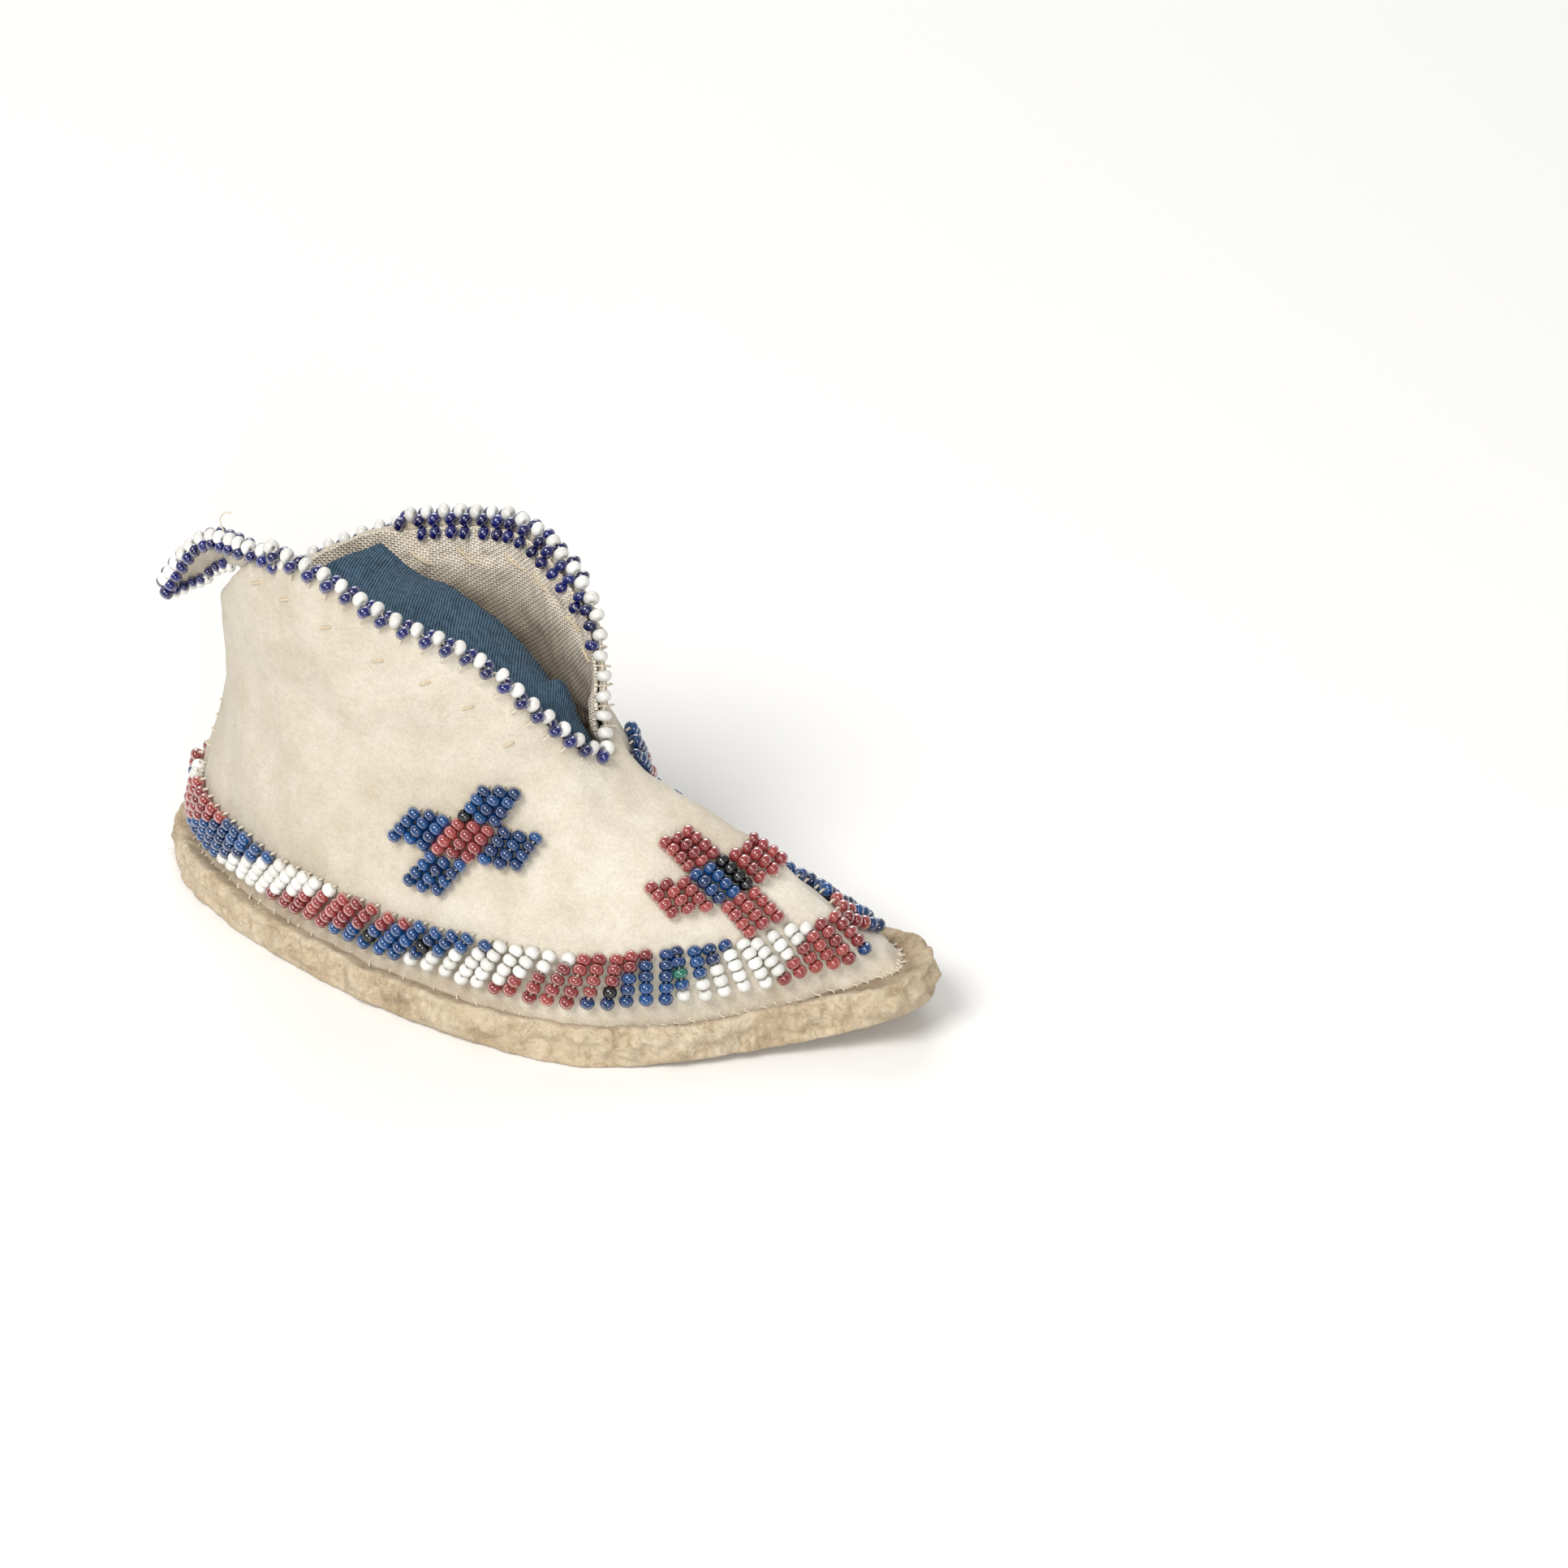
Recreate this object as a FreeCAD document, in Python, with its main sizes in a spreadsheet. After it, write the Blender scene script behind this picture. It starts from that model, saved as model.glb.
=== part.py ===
# Child's beaded moccasin, hard rawhide sole, right foot.
# Frame: origin under the middle of the sole, +X to the toe, -Y the outer (little toe) side, +Z up.
# Lengths in mm, angles in degrees unless a name says otherwise.
import FreeCAD, Part
import math
import os
import Sketcher

V = FreeCAD.Vector
doc = FreeCAD.newDocument("Moccasin")

# ---------------------------------------------------------------- driving sizes
sizes = doc.addObject("Spreadsheet::Sheet", "Sizes")
SIZES = [
    ("sole_thickness", 5.0, "rawhide sole at the edge"),
    ("sole_blank_height", 16.0, "height the outline is padded before its two side cuts"),
    ("sole_edge_round", 1.4, "rounding of the cut rawhide edge"),
    ("spring_start", 26.0, "where the sole begins to turn up, ahead of the middle"),
    ("spring_radius", 140.0, "radius of the turned up toe, underside"),
    ("rim_width", 3.0, "sole standing out past the upper"),
    ("toe_rim_extra", 2.0, "more rim at the point of the toe"),
    ("heel_rim_extra", 1.0, "more rim at the heel"),
    ("instep_height", 35.0, "bottom of the V opening above the ground"),
    ("ankle_centre_x", -21.0, "middle of the ankle opening"),
    ("ankle_centre_y", 4.5, "middle of the ankle opening"),
    ("ankle_half_length", 32.5, "ankle opening, heel to V"),
    ("ankle_half_width", 18.0, "ankle opening, side to side"),
    ("hide_thickness", 1.2, "smoked buckskin of the upper"),
    ("lining_thickness", 0.6, "canvas lining of the flaps"),
    ("lining_bottom", 26.0, "lower edge of the lining above the ground"),
    ("cloth_thickness", 0.9, "wool cloth of the tongue"),
    ("bead_radius", 1.05, "glass seed bead, outside"),
    ("bead_length", 1.4, "glass seed bead, along its hole"),
    ("bead_hole", 0.32, "radius of the bead's hole"),
    ("bead_step", 1.55, "bead to bead on one thread"),
    ("lane_step", 2.22, "lane to lane in the beadwork"),
    ("outer_edge_step", 3.3, "white bead to white bead on the outer rim"),
    ("inner_edge_step", 2.9, "white bead to white bead on the inner rim"),
    ("thread_radius", 0.15, "sewing thread"),
    ("stitch_radius", 0.28, "heavier sewing sinew"),
]
for row, (alias, value, note) in enumerate(SIZES, start=1):
    sizes.set("A%d" % row, alias)
    sizes.set("B%d" % row, str(value))
    sizes.set("C%d" % row, note)
    sizes.setAlias("B%d" % row, alias)
doc.recompute()


def size(alias):
    """A driving size, read back from the sheet."""
    return float(sizes.get(alias))


# Plan of the sole, from the middle of the heel round the outer side to the toe and back.
SOLE_PLAN = [
    (-63.5, 5), (-59.2, -6), (-49, -13.4), (-33, -19.8), (-10, -25), (7, -26), (25, -23.8), (36, -16.5),
    (47, -8.2), (58, 1), (63.5, 10), (60, 16.5), (45, 22.5), (20, 26), (-12, 25.2), (-39, 22.5), (-56, 16),
]
# Height of the rim of each flap, by its angle round the ankle (0 at the V, 180 at the heel seam).
OUTER_RIM = [
    (0, 35), (10, 35.8), (20, 39), (35, 45), (48, 50.8), (62, 54.5), (76, 56.6), (90, 59.4),
    (104, 61.4), (118, 61.6), (131, 57), (145, 51.2), (160, 47), (180, 45),
]
INNER_RIM = [
    (0, 35), (10, 38.5), (20, 45), (30, 49.2), (47, 53.8), (60, 56.6), (72, 58.4), (86, 57.4),
    (111, 53.8), (129, 50.2), (145, 46.6), (160, 45.2), (180, 45),
]
OUTER = -1
INNER = 1


# ---------------------------------------------------------------- the shape of the foot
def clamp(value, low, high):
    return max(low, min(high, value))


def through(points, closed=False):
    """Smooth curve through points."""
    curve = Part.BSplineCurve()
    curve.interpolate(Points=[V(*p) for p in points], PeriodicFlag=closed)
    return curve


plan = through([(x, y, 0) for x, y in SOLE_PLAN], closed=True)


def plan_table(count=720):
    """Points and outward normals of the sole's plan, sorted by their angle round the foot."""
    first, last = plan.FirstParameter, plan.LastParameter
    rows = []
    for i in range(count):
        u = first + (last - first) * i / count
        p = plan.value(u)
        along = plan.tangent(u)[0]
        rows.append((math.atan2(p.y / 26.0, p.x / 63.5), p, V(-along.y, along.x, 0) * -1))
    return sorted(rows, key=lambda entry: entry[0])


TABLE = plan_table()


def plan_point(t, inset):
    """Point of the sole's plan at angle t (radians), moved inwards by inset."""
    t = math.atan2(math.sin(t), math.cos(t))
    low, high = 0, len(TABLE) - 1
    while high - low > 1:
        middle = (low + high) // 2
        if TABLE[middle][0] <= t:
            low = middle
        else:
            high = middle
    a, b = TABLE[low], TABLE[high]
    if t < TABLE[0][0] or t > TABLE[-1][0]:
        a, b = TABLE[-1], TABLE[0]
    gap = (b[0] - a[0]) % (2 * math.pi)
    share = ((t - a[0]) % (2 * math.pi)) / gap if gap else 0.0
    share = clamp(share, 0.0, 1.0)
    p = a[1] * (1 - share) + b[1] * share
    n = a[2] * (1 - share) + b[2] * share
    return p - n * inset


def sole_top(x):
    """Height of the sole's upper face."""
    past = max(0.0, x - size("spring_start"))
    r = size("spring_radius")
    return r - math.sqrt((r - size("sole_thickness")) ** 2 - past ** 2)


def foot(t, z, inset=0.0):
    """Point of the upper's outer face at angle t (radians) and height z; inset moves it inwards."""
    c = math.cos(t)
    rim = size("rim_width") + size("toe_rim_extra") * max(0, c) ** 8 + size("heel_rim_extra") * max(0, -c) ** 4
    low = plan_point(t, rim + inset)
    tuck = 0.5 * clamp((z - size("instep_height")) / 25.0, 0, 2)
    ex = size("ankle_centre_x") + (size("ankle_half_length") - inset - tuck) * c
    ey = size("ankle_centre_y") + (size("ankle_half_width") - inset - tuck) * math.sin(t)
    rise = clamp((z - size("sole_thickness")) / (size("instep_height") - size("sole_thickness")), 0, 1)
    front = max(0, c) ** 2
    blend = front * rise ** 1.7 + (1 - front) * rise * rise * (3 - 2 * rise)
    return V(low.x + (ex - low.x) * blend, low.y + (ey - low.y) * blend, z)


def foot_frame(t, z, inset=0.0):
    """Point, unit tangent round the foot, unit tangent up the wall and outward normal."""
    p = foot(t, z, inset)
    around = (foot(t + 0.01, z, inset) - foot(t - 0.01, z, inset)).normalize()
    rise = (foot(t, z + 0.2, inset) - foot(t, z - 0.2, inset)).normalize()
    out = around.cross(rise).normalize()
    return p, around, out.cross(around).normalize(), out


def rim_height(side, degrees):
    """Height of a flap's rim at an angle from the V, eased between the listed heights."""
    knots = OUTER_RIM if side == OUTER else INNER_RIM
    degrees = clamp(abs(degrees), 0, 180)
    k = 0
    while k < len(knots) - 2 and knots[k + 1][0] < degrees:
        k += 1
    before, a, b, after = knots[max(k - 1, 0)], knots[k], knots[k + 1], knots[min(k + 2, len(knots) - 1)]
    span = b[0] - a[0]
    slope_a = (b[1] - before[1]) / (b[0] - before[0]) * span
    slope_b = (after[1] - a[1]) / (after[0] - a[0]) * span
    u = (degrees - a[0]) / span
    return ((2 * u ** 3 - 3 * u ** 2 + 1) * a[1] + (u ** 3 - 2 * u ** 2 + u) * slope_a
            + (3 * u ** 2 - 2 * u ** 3) * b[1] + (u ** 3 - u ** 2) * slope_b)


def rim_point(side, degrees, inset=0.0):
    return foot(math.radians(side * degrees), rim_height(side, degrees), inset)


# ---------------------------------------------------------------- helpers for the document
def label(feature, name):
    feature.Label = name
    return feature


def plain(name, shape):
    """A shape with no feature of its own kind (threads and strung beads)."""
    feature = doc.addObject("Part::Feature", name)
    feature.Shape = shape
    return feature


def cut(name, base, tool):
    feature = doc.addObject("Part::Cut", name)
    feature.Base = base
    feature.Tool = tool
    return feature


def common(name, base, tool):
    feature = doc.addObject("Part::Common", name)
    feature.Base = base
    feature.Tool = tool
    return feature


LEVELS = [6.0, 9.0, 12.0, 15.0, 18.0, 21.0, 24.0, 27.0, 30.0, 32.5, 35.0, 46.0, 57.0]


def foot_loft(name, inset, drop, reach=0.0):
    """Solid inside the upper's surface, moved in by inset and down by drop; reach makes it taller."""
    rings = []
    for level in [2.0 - reach] + LEVELS + [68.0 + reach]:
        points = [foot(math.radians(a), level + drop, inset) for a in range(0, 360, 10)]
        wire = Part.Wire(through([(p.x, p.y, level) for p in points], closed=True).toShape())
        rings.append(plain("%s_ring_%02d" % (name, level), wire))
    loft = doc.addObject("Part::Loft", name)
    loft.Sections = rings
    loft.Solid = True
    loft.Ruled = True
    return loft


def rim_cutter(name, side, lower):
    """Everything above one flap's rim, lowered by lower: a ruled strip across the rim, pushed up."""
    degrees = [-1.0 + 2.6 * i for i in range(71)]
    edges = []
    insets = (10.0, -6.0) if side == OUTER else (-6.0, 10.0)
    for inset in insets:
        line = []
        for d in degrees:
            z = rim_height(side, d)
            p = foot(math.radians(side * d), z, inset)
            line.append((p.x, p.y, z - lower))
        edges.append(through(line).toShape())
    above = doc.addObject("Part::Extrusion", name)
    above.Base = plain(name + "_strip", Part.makeRuledSurface(*edges))
    above.DirMode = "Custom"
    above.Dir = V(0, 0, 1)
    above.LengthFwd = 60
    return above


# ---------------------------------------------------------------- sole
sole_body = doc.addObject("PartDesign::Body", "SoleBody")
outline_sketch = sole_body.newObject("Sketcher::SketchObject", "SoleOutline")
outline_sketch.addGeometry(plan, False)
sole_pad = sole_body.newObject("PartDesign::Pad", "SolePad")
sole_pad.Profile = outline_sketch
sole_pad.setExpression("Length", "Sizes.sole_blank_height")

R = size("spring_radius")
START = size("spring_start")
THICK = size("sole_thickness")


def spring_arc(radius, far):
    """Arc of the turned up toe in side view, from its start out to x = far."""
    middle = (START + far) / 2
    ends = [START, middle, far]
    return [V(x, R - math.sqrt(radius ** 2 - (x - START) ** 2), 0) for x in ends]


def side_sketch(name, curve, closing):
    """Side view sketch on the XZ plane: straight, spring arc, then the closing lines."""
    sketch = sole_body.newObject("Sketcher::SketchObject", name)
    sketch.Placement = FreeCAD.Placement(V(0, 0, 0), FreeCAD.Rotation(V(1, 0, 0), 90))
    start, middle, end = curve
    sketch.addGeometry(Part.Arc(start, middle, end), False)
    path = [end] + closing + [start]
    for a, b in zip(path, path[1:]):
        sketch.addGeometry(Part.LineSegment(a, b), False)
    return sketch


under = side_sketch("UnderProfile", spring_arc(R, 80), [V(80, -5, 0), V(START, -5, 0)])
over = side_sketch("OverProfile", spring_arc(R - THICK, 80), [V(80, 40, 0), V(-80, 40, 0), V(-80, THICK, 0)])
for name, sketch in (("UnderCut", under), ("OverCut", over)):
    pocket = sole_body.newObject("PartDesign::Pocket", name)
    pocket.Profile = sketch
    pocket.Type = 1
    pocket.Midplane = True
doc.recompute()
round_edges = []
for i, edge in enumerate(pocket.Shape.Edges, start=1):
    if edge.BoundBox.YLength > 1.0 and not edge.BoundBox.ZLength > 14:
        if edge.BoundBox.XLength > 20:
            round_edges.append("Edge%d" % i)
sole = sole_body.newObject("PartDesign::Fillet", "SoleRound")
sole.Base = (pocket, round_edges)
sole.setExpression("Radius", "Sizes.sole_edge_round")
doc.recompute()

# ---------------------------------------------------------------- upper
HIDE = size("hide_thickness")
LINING = size("lining_thickness")
ground = doc.addObject("Part::Extrusion", "UnderTheUpper")
top_arc = spring_arc(R - THICK, 80)
shelf = [V(-80, THICK, 0), top_arc[0]]
shelf_edges = [Part.makeLine(V(-80, 0, -5), V(-80, 0, THICK)),
               Part.makeLine(V(-80, 0, THICK), V(START, 0, THICK)),
               Part.Arc(*[V(p.x, 0, p.y) for p in top_arc]).toShape(),
               Part.makeLine(V(80, 0, top_arc[2].y), V(80, 0, -5)),
               Part.makeLine(V(80, 0, -5), V(-80, 0, -5))]
ground.Base = plain("UnderTheUpperProfile", Part.Face(Part.Wire(shelf_edges)))
ground.DirMode = "Custom"
ground.Dir = V(0, 1, 0)
ground.LengthFwd = 100
ground.Symmetric = True

outside = foot_loft("HideOutside", 0.0, 0.0)
inside = foot_loft("HideInside", HIDE * 0.85, HIDE * 0.7, 2.0)
shell = cut("HideShell", outside, inside)
standing = cut("HideStanding", shell, ground)
outer_cut = rim_cutter("AboveOuterRim", OUTER, 0.0)
inner_cut = rim_cutter("AboveInnerRim", INNER, 0.0)
trimmed = cut("HideTrimmed", cut("HideHalfTrimmed", standing, outer_cut), inner_cut)

# The outer flap's back corner runs out into a curled, pointed tab.
TAB_TOP = [(-36.5, -9.6, 60.4), (-40.5, -9.3, 60.4), (-43.5, -8.9, 60.6), (-46.4, -8.6, 60.6), (-49.6, -8.5, 58.9),
           (-52.2, -8.5, 56), (-54.4, -8.5, 53), (-56, -8.6, 50.3)]
TAB_LOW = [(-38.4, -8.9, 56.6), (-42, -7.9, 57), (-44.9, -7.2, 56.6), (-47.4, -6.6, 55.2), (-50.2, -6.2, 52.7),
           (-52.5, -6.2, 51.3), (-54.5, -6.8, 50.1), (-55.9, -8, 49.4)]


def strip_sections(top, low, thick):
    """Thin four sided wires across a strip, between its two edges."""
    wires = []
    for i, (a, b) in enumerate(zip(top, low)):
        a, b = V(*a), V(*b)
        ahead = V(*top[min(i + 1, len(top) - 1)]) - V(*top[max(i - 1, 0)])
        skin = (a - b).cross(ahead).normalize() * thick
        wires.append(Part.makePolygon([a, b, b + skin, a + skin, a]))
    return wires


tab = doc.addObject("Part::Loft", "Tab")
tab.Sections = [plain("TabSection%d" % i, w) for i, w in enumerate(strip_sections(TAB_TOP, TAB_LOW, HIDE * 0.9))]
tab.Solid = True
tab.Ruled = False
upper = doc.addObject("Part::Fuse", "Upper")
upper.Base = trimmed
upper.Tool = tab

# ---------------------------------------------------------------- lining of the two flaps
lining_outside = foot_loft("LiningOutside", HIDE + 0.15, HIDE)
lining_inside = foot_loft("LiningInside", HIDE + 0.15 + LINING, HIDE, 2.0)
lining_shell = cut("LiningShell", lining_outside, lining_inside)


def lining(name, side):
    """One flap's lining: the shell kept to its side, above its lower edge and below the rim."""
    box = doc.addObject("Part::Box", name + "_side")
    box.Length = 56
    box.Width = 30
    box.Height = 60
    edge = size("ankle_centre_y") + side * 3.0
    box.Placement.Base = V(-48, edge if side == INNER else edge - 30, size("lining_bottom"))
    piece = common(name + "_half", lining_shell, box)
    cutter = rim_cutter(name + "_top", side, 4.0)
    return cut(name, piece, cutter)


outer_lining = lining("OuterLining", OUTER)
inner_lining = lining("InnerLining", INNER)

# ---------------------------------------------------------------- tongue
TONGUE_FAR = [(6.8, 6.6, 36.2), (1.5, 8.2, 42), (-8, 10.5, 46.8), (-19, 10.5, 51.4), (-30, 10, 55.8)]
TONGUE_NEAR = [(6.8, 2.4, 35.6), (2.2, 0.0, 41.0), (-8, -5.6, 45.4), (-21, -8.4, 49.6), (-35.5, -7.2, 52)]
CROWN = 1.6
CLOTH = size("cloth_thickness")
tongue_rings = []
for far, near in zip(TONGUE_FAR, TONGUE_NEAR):
    far, near = V(*far), V(*near)
    crest = (far + near) * 0.5 + V(0, 0, CROWN)
    down = V(0, 0, -CLOTH)
    top = Part.Arc(far, crest, near).toShape()
    bottom = Part.Arc(near + down, crest + down, far + down).toShape()
    ring = Part.Wire([top, Part.makeLine(near, near + down), bottom, Part.makeLine(far + down, far)])
    tongue_rings.append(plain("TongueRing%d" % len(tongue_rings), ring))
tongue = doc.addObject("Part::Loft", "Tongue")
tongue.Sections = tongue_rings
tongue.Solid = True
tongue.Ruled = False

# ---------------------------------------------------------------- beads
BEAD_R = size("bead_radius")
BEAD_HALF = size("bead_length") / 2
HOLE = size("bead_hole")
STEP = size("bead_step")


def bead_shape():
    """One seed bead about the Z axis: an upright ellipse turned round its hole."""
    wall = (BEAD_R - HOLE) / 2
    middle = HOLE + wall
    ring = Part.Ellipse(V(middle, 0, BEAD_HALF), V(middle + wall, 0, 0), V(middle, 0, 0))
    return Part.Face(Part.Wire(ring.toShape())).revolve(V(0, 0, 0), V(0, 0, 1), 360)


BEAD = bead_shape()


def strung(centre, axis):
    """A bead with its hole along axis."""
    bead = BEAD.copy()
    bead.Placement = FreeCAD.Placement(centre, FreeCAD.Rotation(V(0, 0, 1), axis))
    return bead


LIFT = BEAD_R + 0.25
beads = {}


def add(group, centre, axis):
    beads.setdefault(group, []).append(strung(centre, axis))


# Lazy stitch band round the foot: lanes of five beads standing on the sole seam.
ROWS = 5
BLOCK = 5
FIRST_BLOCK = 2
COLOURS = ["red", "blue", "white"]
BAND_FOOT = 3.9


# Lean of the lanes from straight up towards the toe, by angle round the foot.
LEANS = [(-180, 8), (-155, 20), (-127, 35), (-108, 38), (-95, 36), (-77, 22), (-61, 14), (-28, -18), (-19, -28),
         (0, -31), (15, -27), (30, -22), (45, -18), (77, -24), (95, -34), (127, -34), (155, -20), (180, 8)]


def lean_at(degrees):
    """Lean of a lane, in degrees, between the listed angles."""
    for (a, low), (b, high) in zip(LEANS, LEANS[1:]):
        if a <= degrees <= b:
            return low + (high - low) * (degrees - a) / (b - a)
    return 0.0


def walk(t, z, across, up):
    """Angle and height reached by going across and straight up (mm) along the upper's face."""
    steps = 8
    for _ in range(steps):
        p, around, rise, out = foot_frame(t, z)
        wide = (foot(t + 0.01, z) - p).Length / 0.01
        tall = (foot(t, z + 0.2) - p) * 5
        climb = up / steps / tall.dot(rise)
        t += (across / steps - climb * tall.dot(around)) / wide
        z += climb
    return t, z


def lane_ends(degrees):
    """First and last bead of a lane, and its sideways direction."""
    t, lean = math.radians(degrees), math.radians(lean_at(degrees))
    z = sole_top(foot(t, 10).x) + BAND_FOOT
    p, around, rise, out = foot_frame(t, z)
    reach = STEP * (ROWS - 1)
    end = walk(t, z, reach * math.sin(lean), reach * math.cos(lean))
    return p, foot(*end), around * math.cos(lean) - rise * math.sin(lean)


def band_lanes():
    """Angles of the lanes' feet, set so that the closer of two lanes' ends keeps the gap."""
    fine = list(range(-180, 181))
    ends = [lane_ends(d) for d in fine]
    run = [0.0]
    for (low, high, side), (next_low, next_high, _) in zip(ends, ends[1:]):
        run.append(run[-1] + min((next_low - low).dot(side), (next_high - high).dot(side)))
    count = int(run[-1] / size("lane_step"))
    lanes = []
    k = 0
    for i in range(count):
        goal = (i + 0.5) * run[-1] / count
        while run[k + 1] < goal:
            k += 1
        lanes.append(fine[k] + (goal - run[k]) / (run[k + 1] - run[k]))
    return lanes


for index, degrees in enumerate(band_lanes()):
    t = math.radians(degrees)
    lean = math.radians(lean_at(degrees))
    z = sole_top(foot(t, 10).x) + BAND_FOOT
    for row in range(ROWS):
        p, around, rise, out = foot_frame(t, z)
        colour = COLOURS[((index - FIRST_BLOCK + ROWS - 1 - row) // BLOCK) % 3]
        add("band_beads_" + colour, p + out * LIFT, around * math.sin(lean) + rise * math.cos(lean))
        t, z = walk(t, z, STEP * math.sin(lean), STEP * math.cos(lean))

# Crosses: five blocks of three lanes, four beads each, leaning with the stitch.
CROSSES = [
    ("outer_cross", -67.2, 26.0, 60, -4, "blue", "red"),
    ("inner_cross", 60.0, 25.0, 120, 184, "blue", "red"),
    ("toe_cross", -11.5, 22.15, 124, 16, "red", "blue"),
]
BLOCKS = [(0, 0), (1, 0), (-1, 0), (0, 1), (0, -1)]
LANES = 3
LENGTH = 4


for name, angle, height, lean, level, arms, centre in CROSSES:
    lean, level = math.radians(lean), math.radians(level)
    skew = abs(math.sin(lean - level))
    lane_gap = (2 * BEAD_R + 0.12) / skew
    block_wide = LANES * lane_gap + 0.15
    block_tall = LENGTH * STEP + 0.4
    for bx, by in BLOCKS:
        group = name + "_" + (centre if (bx, by) == (0, 0) else arms)
        for lane in range(LANES):
            for k in range(LENGTH):
                a = bx * block_wide + (lane - 1) * lane_gap
                b = by * block_tall + (k - (LENGTH - 1) / 2) * STEP
                across = a * math.cos(level) + b * math.cos(lean)
                up = a * math.sin(level) + b * math.sin(lean)
                t, z = walk(math.radians(angle), height, across, up)
                p, around, rise, out = foot_frame(t, z)
                add(group, p + out * LIFT, around * math.cos(lean) + rise * math.sin(lean))


# Rim edging: a white bead on the rim, then a blue one below it on each face.
def rim_stations(side, start, stop, step):
    """Angles along a rim, half an edging step apart."""
    fine = [start + (stop - start) * i / 400 for i in range(401)]
    points = [rim_point(side, d) for d in fine]
    found = []
    travelled = 0.0
    goal = 0.0
    for i in range(1, len(points)):
        travelled += (points[i] - points[i - 1]).Length
        if travelled >= goal:
            found.append(fine[i])
            goal += step / 2
    return found


UP = V(0, 0, 1)
edge_paths = {}
for side, name, stop in ((OUTER, "outer", 113), (INNER, "inner", 172)):
    centres = []
    stations = rim_stations(side, 6, stop, size(name + "_edge_step"))
    for i, degrees in enumerate(stations):
        t = math.radians(side * degrees)
        middle = rim_point(side, degrees, HIDE / 2)
        ahead = (rim_point(side, degrees + 1, HIDE / 2) - rim_point(side, degrees - 1, HIDE / 2)).normalize()
        out = foot_frame(t, rim_height(side, degrees))[3]
        out = (out - ahead * out.dot(ahead)).normalize()
        over = (ahead.cross(out) * (side * -1.0)).normalize()
        if over.z < 0:
            over = over * -1
        if i % 2 == 0:
            centres.append(middle + over * (BEAD_R + 0.36))
            add("edge_beads_white", centres[-1], ahead)
        else:
            reach = HIDE / 2 + BEAD_R + 0.3
            if degrees > 12:
                add("edge_beads_blue", middle + out * reach - over * 1.0, over)
            if degrees > (22 if side == INNER else 75):
                add("edge_beads_blue", middle - out * reach - over * 0.9, over)
    edge_paths[name] = centres

# The same edging along both edges of the tab.
tab_top = through(TAB_TOP)
tab_low = through(TAB_LOW)


def tab_edge(share):
    u = tab_top.FirstParameter + (tab_top.LastParameter - tab_top.FirstParameter) * share
    w = tab_low.FirstParameter + (tab_low.LastParameter - tab_low.FirstParameter) * share
    return tab_top.value(u), tab_low.value(w), V(*tab_top.tangent(u)[0]), V(*tab_low.tangent(w)[0])


tab_path = []
for i in range(6):
    top, low, along, along_low = tab_edge(0.22 + 0.15 * i)
    width = (top - low).normalize()
    skin = width.cross(along).normalize() * (HIDE * 0.45)
    tab_path.append(top + skin + width * (BEAD_R + 0.3))
    add("edge_beads_white", tab_path[-1], along)
    if 0 < i < 5:
        add("edge_beads_white", low + skin - width * (BEAD_R + 0.3), along_low)

for name, solids in beads.items():
    label(plain(name, Part.makeCompound(solids)), name)


# ---------------------------------------------------------------- threads and stitches
def rod(a, b, radius):
    """Round stitch from a to b."""
    along = b - a
    return Part.makeCylinder(radius, along.Length, a, along)


def thread_through(points, radius):
    """Thread swept along a smooth line through points."""
    line = through([(p.x, p.y, p.z) for p in points])
    start = line.value(line.FirstParameter)
    heading = V(*line.tangent(line.FirstParameter)[0])
    circle = Part.Wire(Part.Circle(start, heading, radius).toShape())
    return Part.Wire(line.toShape()).makePipeShell([circle], True, False)


edge_thread = plain("edge_thread", Part.makeCompound([
    thread_through(edge_paths["outer"], size("thread_radius")),
    thread_through(edge_paths["inner"], size("thread_radius")),
    thread_through(tab_path, size("thread_radius"))]))

STITCH = size("stitch_radius")
sole_stitches = []
for i in range(64):
    t = math.radians(-180 + 360.0 * (i + 0.5) / 64)
    rim = foot(t, 3.0)
    n = foot_frame(t, 3.0)[3]
    side = foot_frame(t, 3.0)[1]
    mid = rim + n * 0.75
    z = max(sole_top(mid.x - side.x * 0.9), sole_top(mid.x + side.x * 0.9)) + STITCH + 0.06
    sole_stitches.append(rod(V(mid.x - side.x * 0.9, mid.y - side.y * 0.9, z),
                             V(mid.x + side.x * 0.9, mid.y + side.y * 0.9, z), STITCH * 0.8))
sole_seam = plain("sole_seam_stitches", Part.makeCompound(sole_stitches))

heel_stitches = []
for i in range(10):
    p, around, rise, out = foot_frame(math.pi, 18 + 2.6 * i)
    centre = p + out * (STITCH + 0.2)
    heel_stitches.append(rod(centre - around * 1.1 - rise * 0.4, centre + around * 1.1 + rise * 0.4, STITCH * 0.8))
heel_seam = plain("heel_seam_stitches", Part.makeCompound(heel_stitches))


def lining_stitches(name, side, start, stop):
    """Running stitches that hold a lining, on its inner face, below the rim."""
    made = []
    degrees = start
    while degrees < stop:
        t = math.radians(side * degrees)
        z = rim_height(side, degrees) - 5.5
        inset = HIDE + 0.15 + LINING + STITCH + 0.25
        p, around, rise, out = foot_frame(t, z, inset)
        lean = (around * 0.9 + rise * (0.35 * side)).normalize()
        made.append(rod(p - lean * 1.1, p + lean * 1.1, STITCH * 0.8))
        degrees += 14
    return plain(name, Part.makeCompound(made))


outer_lining_stitches = lining_stitches("outer_lining_stitches", OUTER, 34, 120)
inner_lining_stitches = lining_stitches("inner_lining_stitches", INNER, 34, 140)

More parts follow.
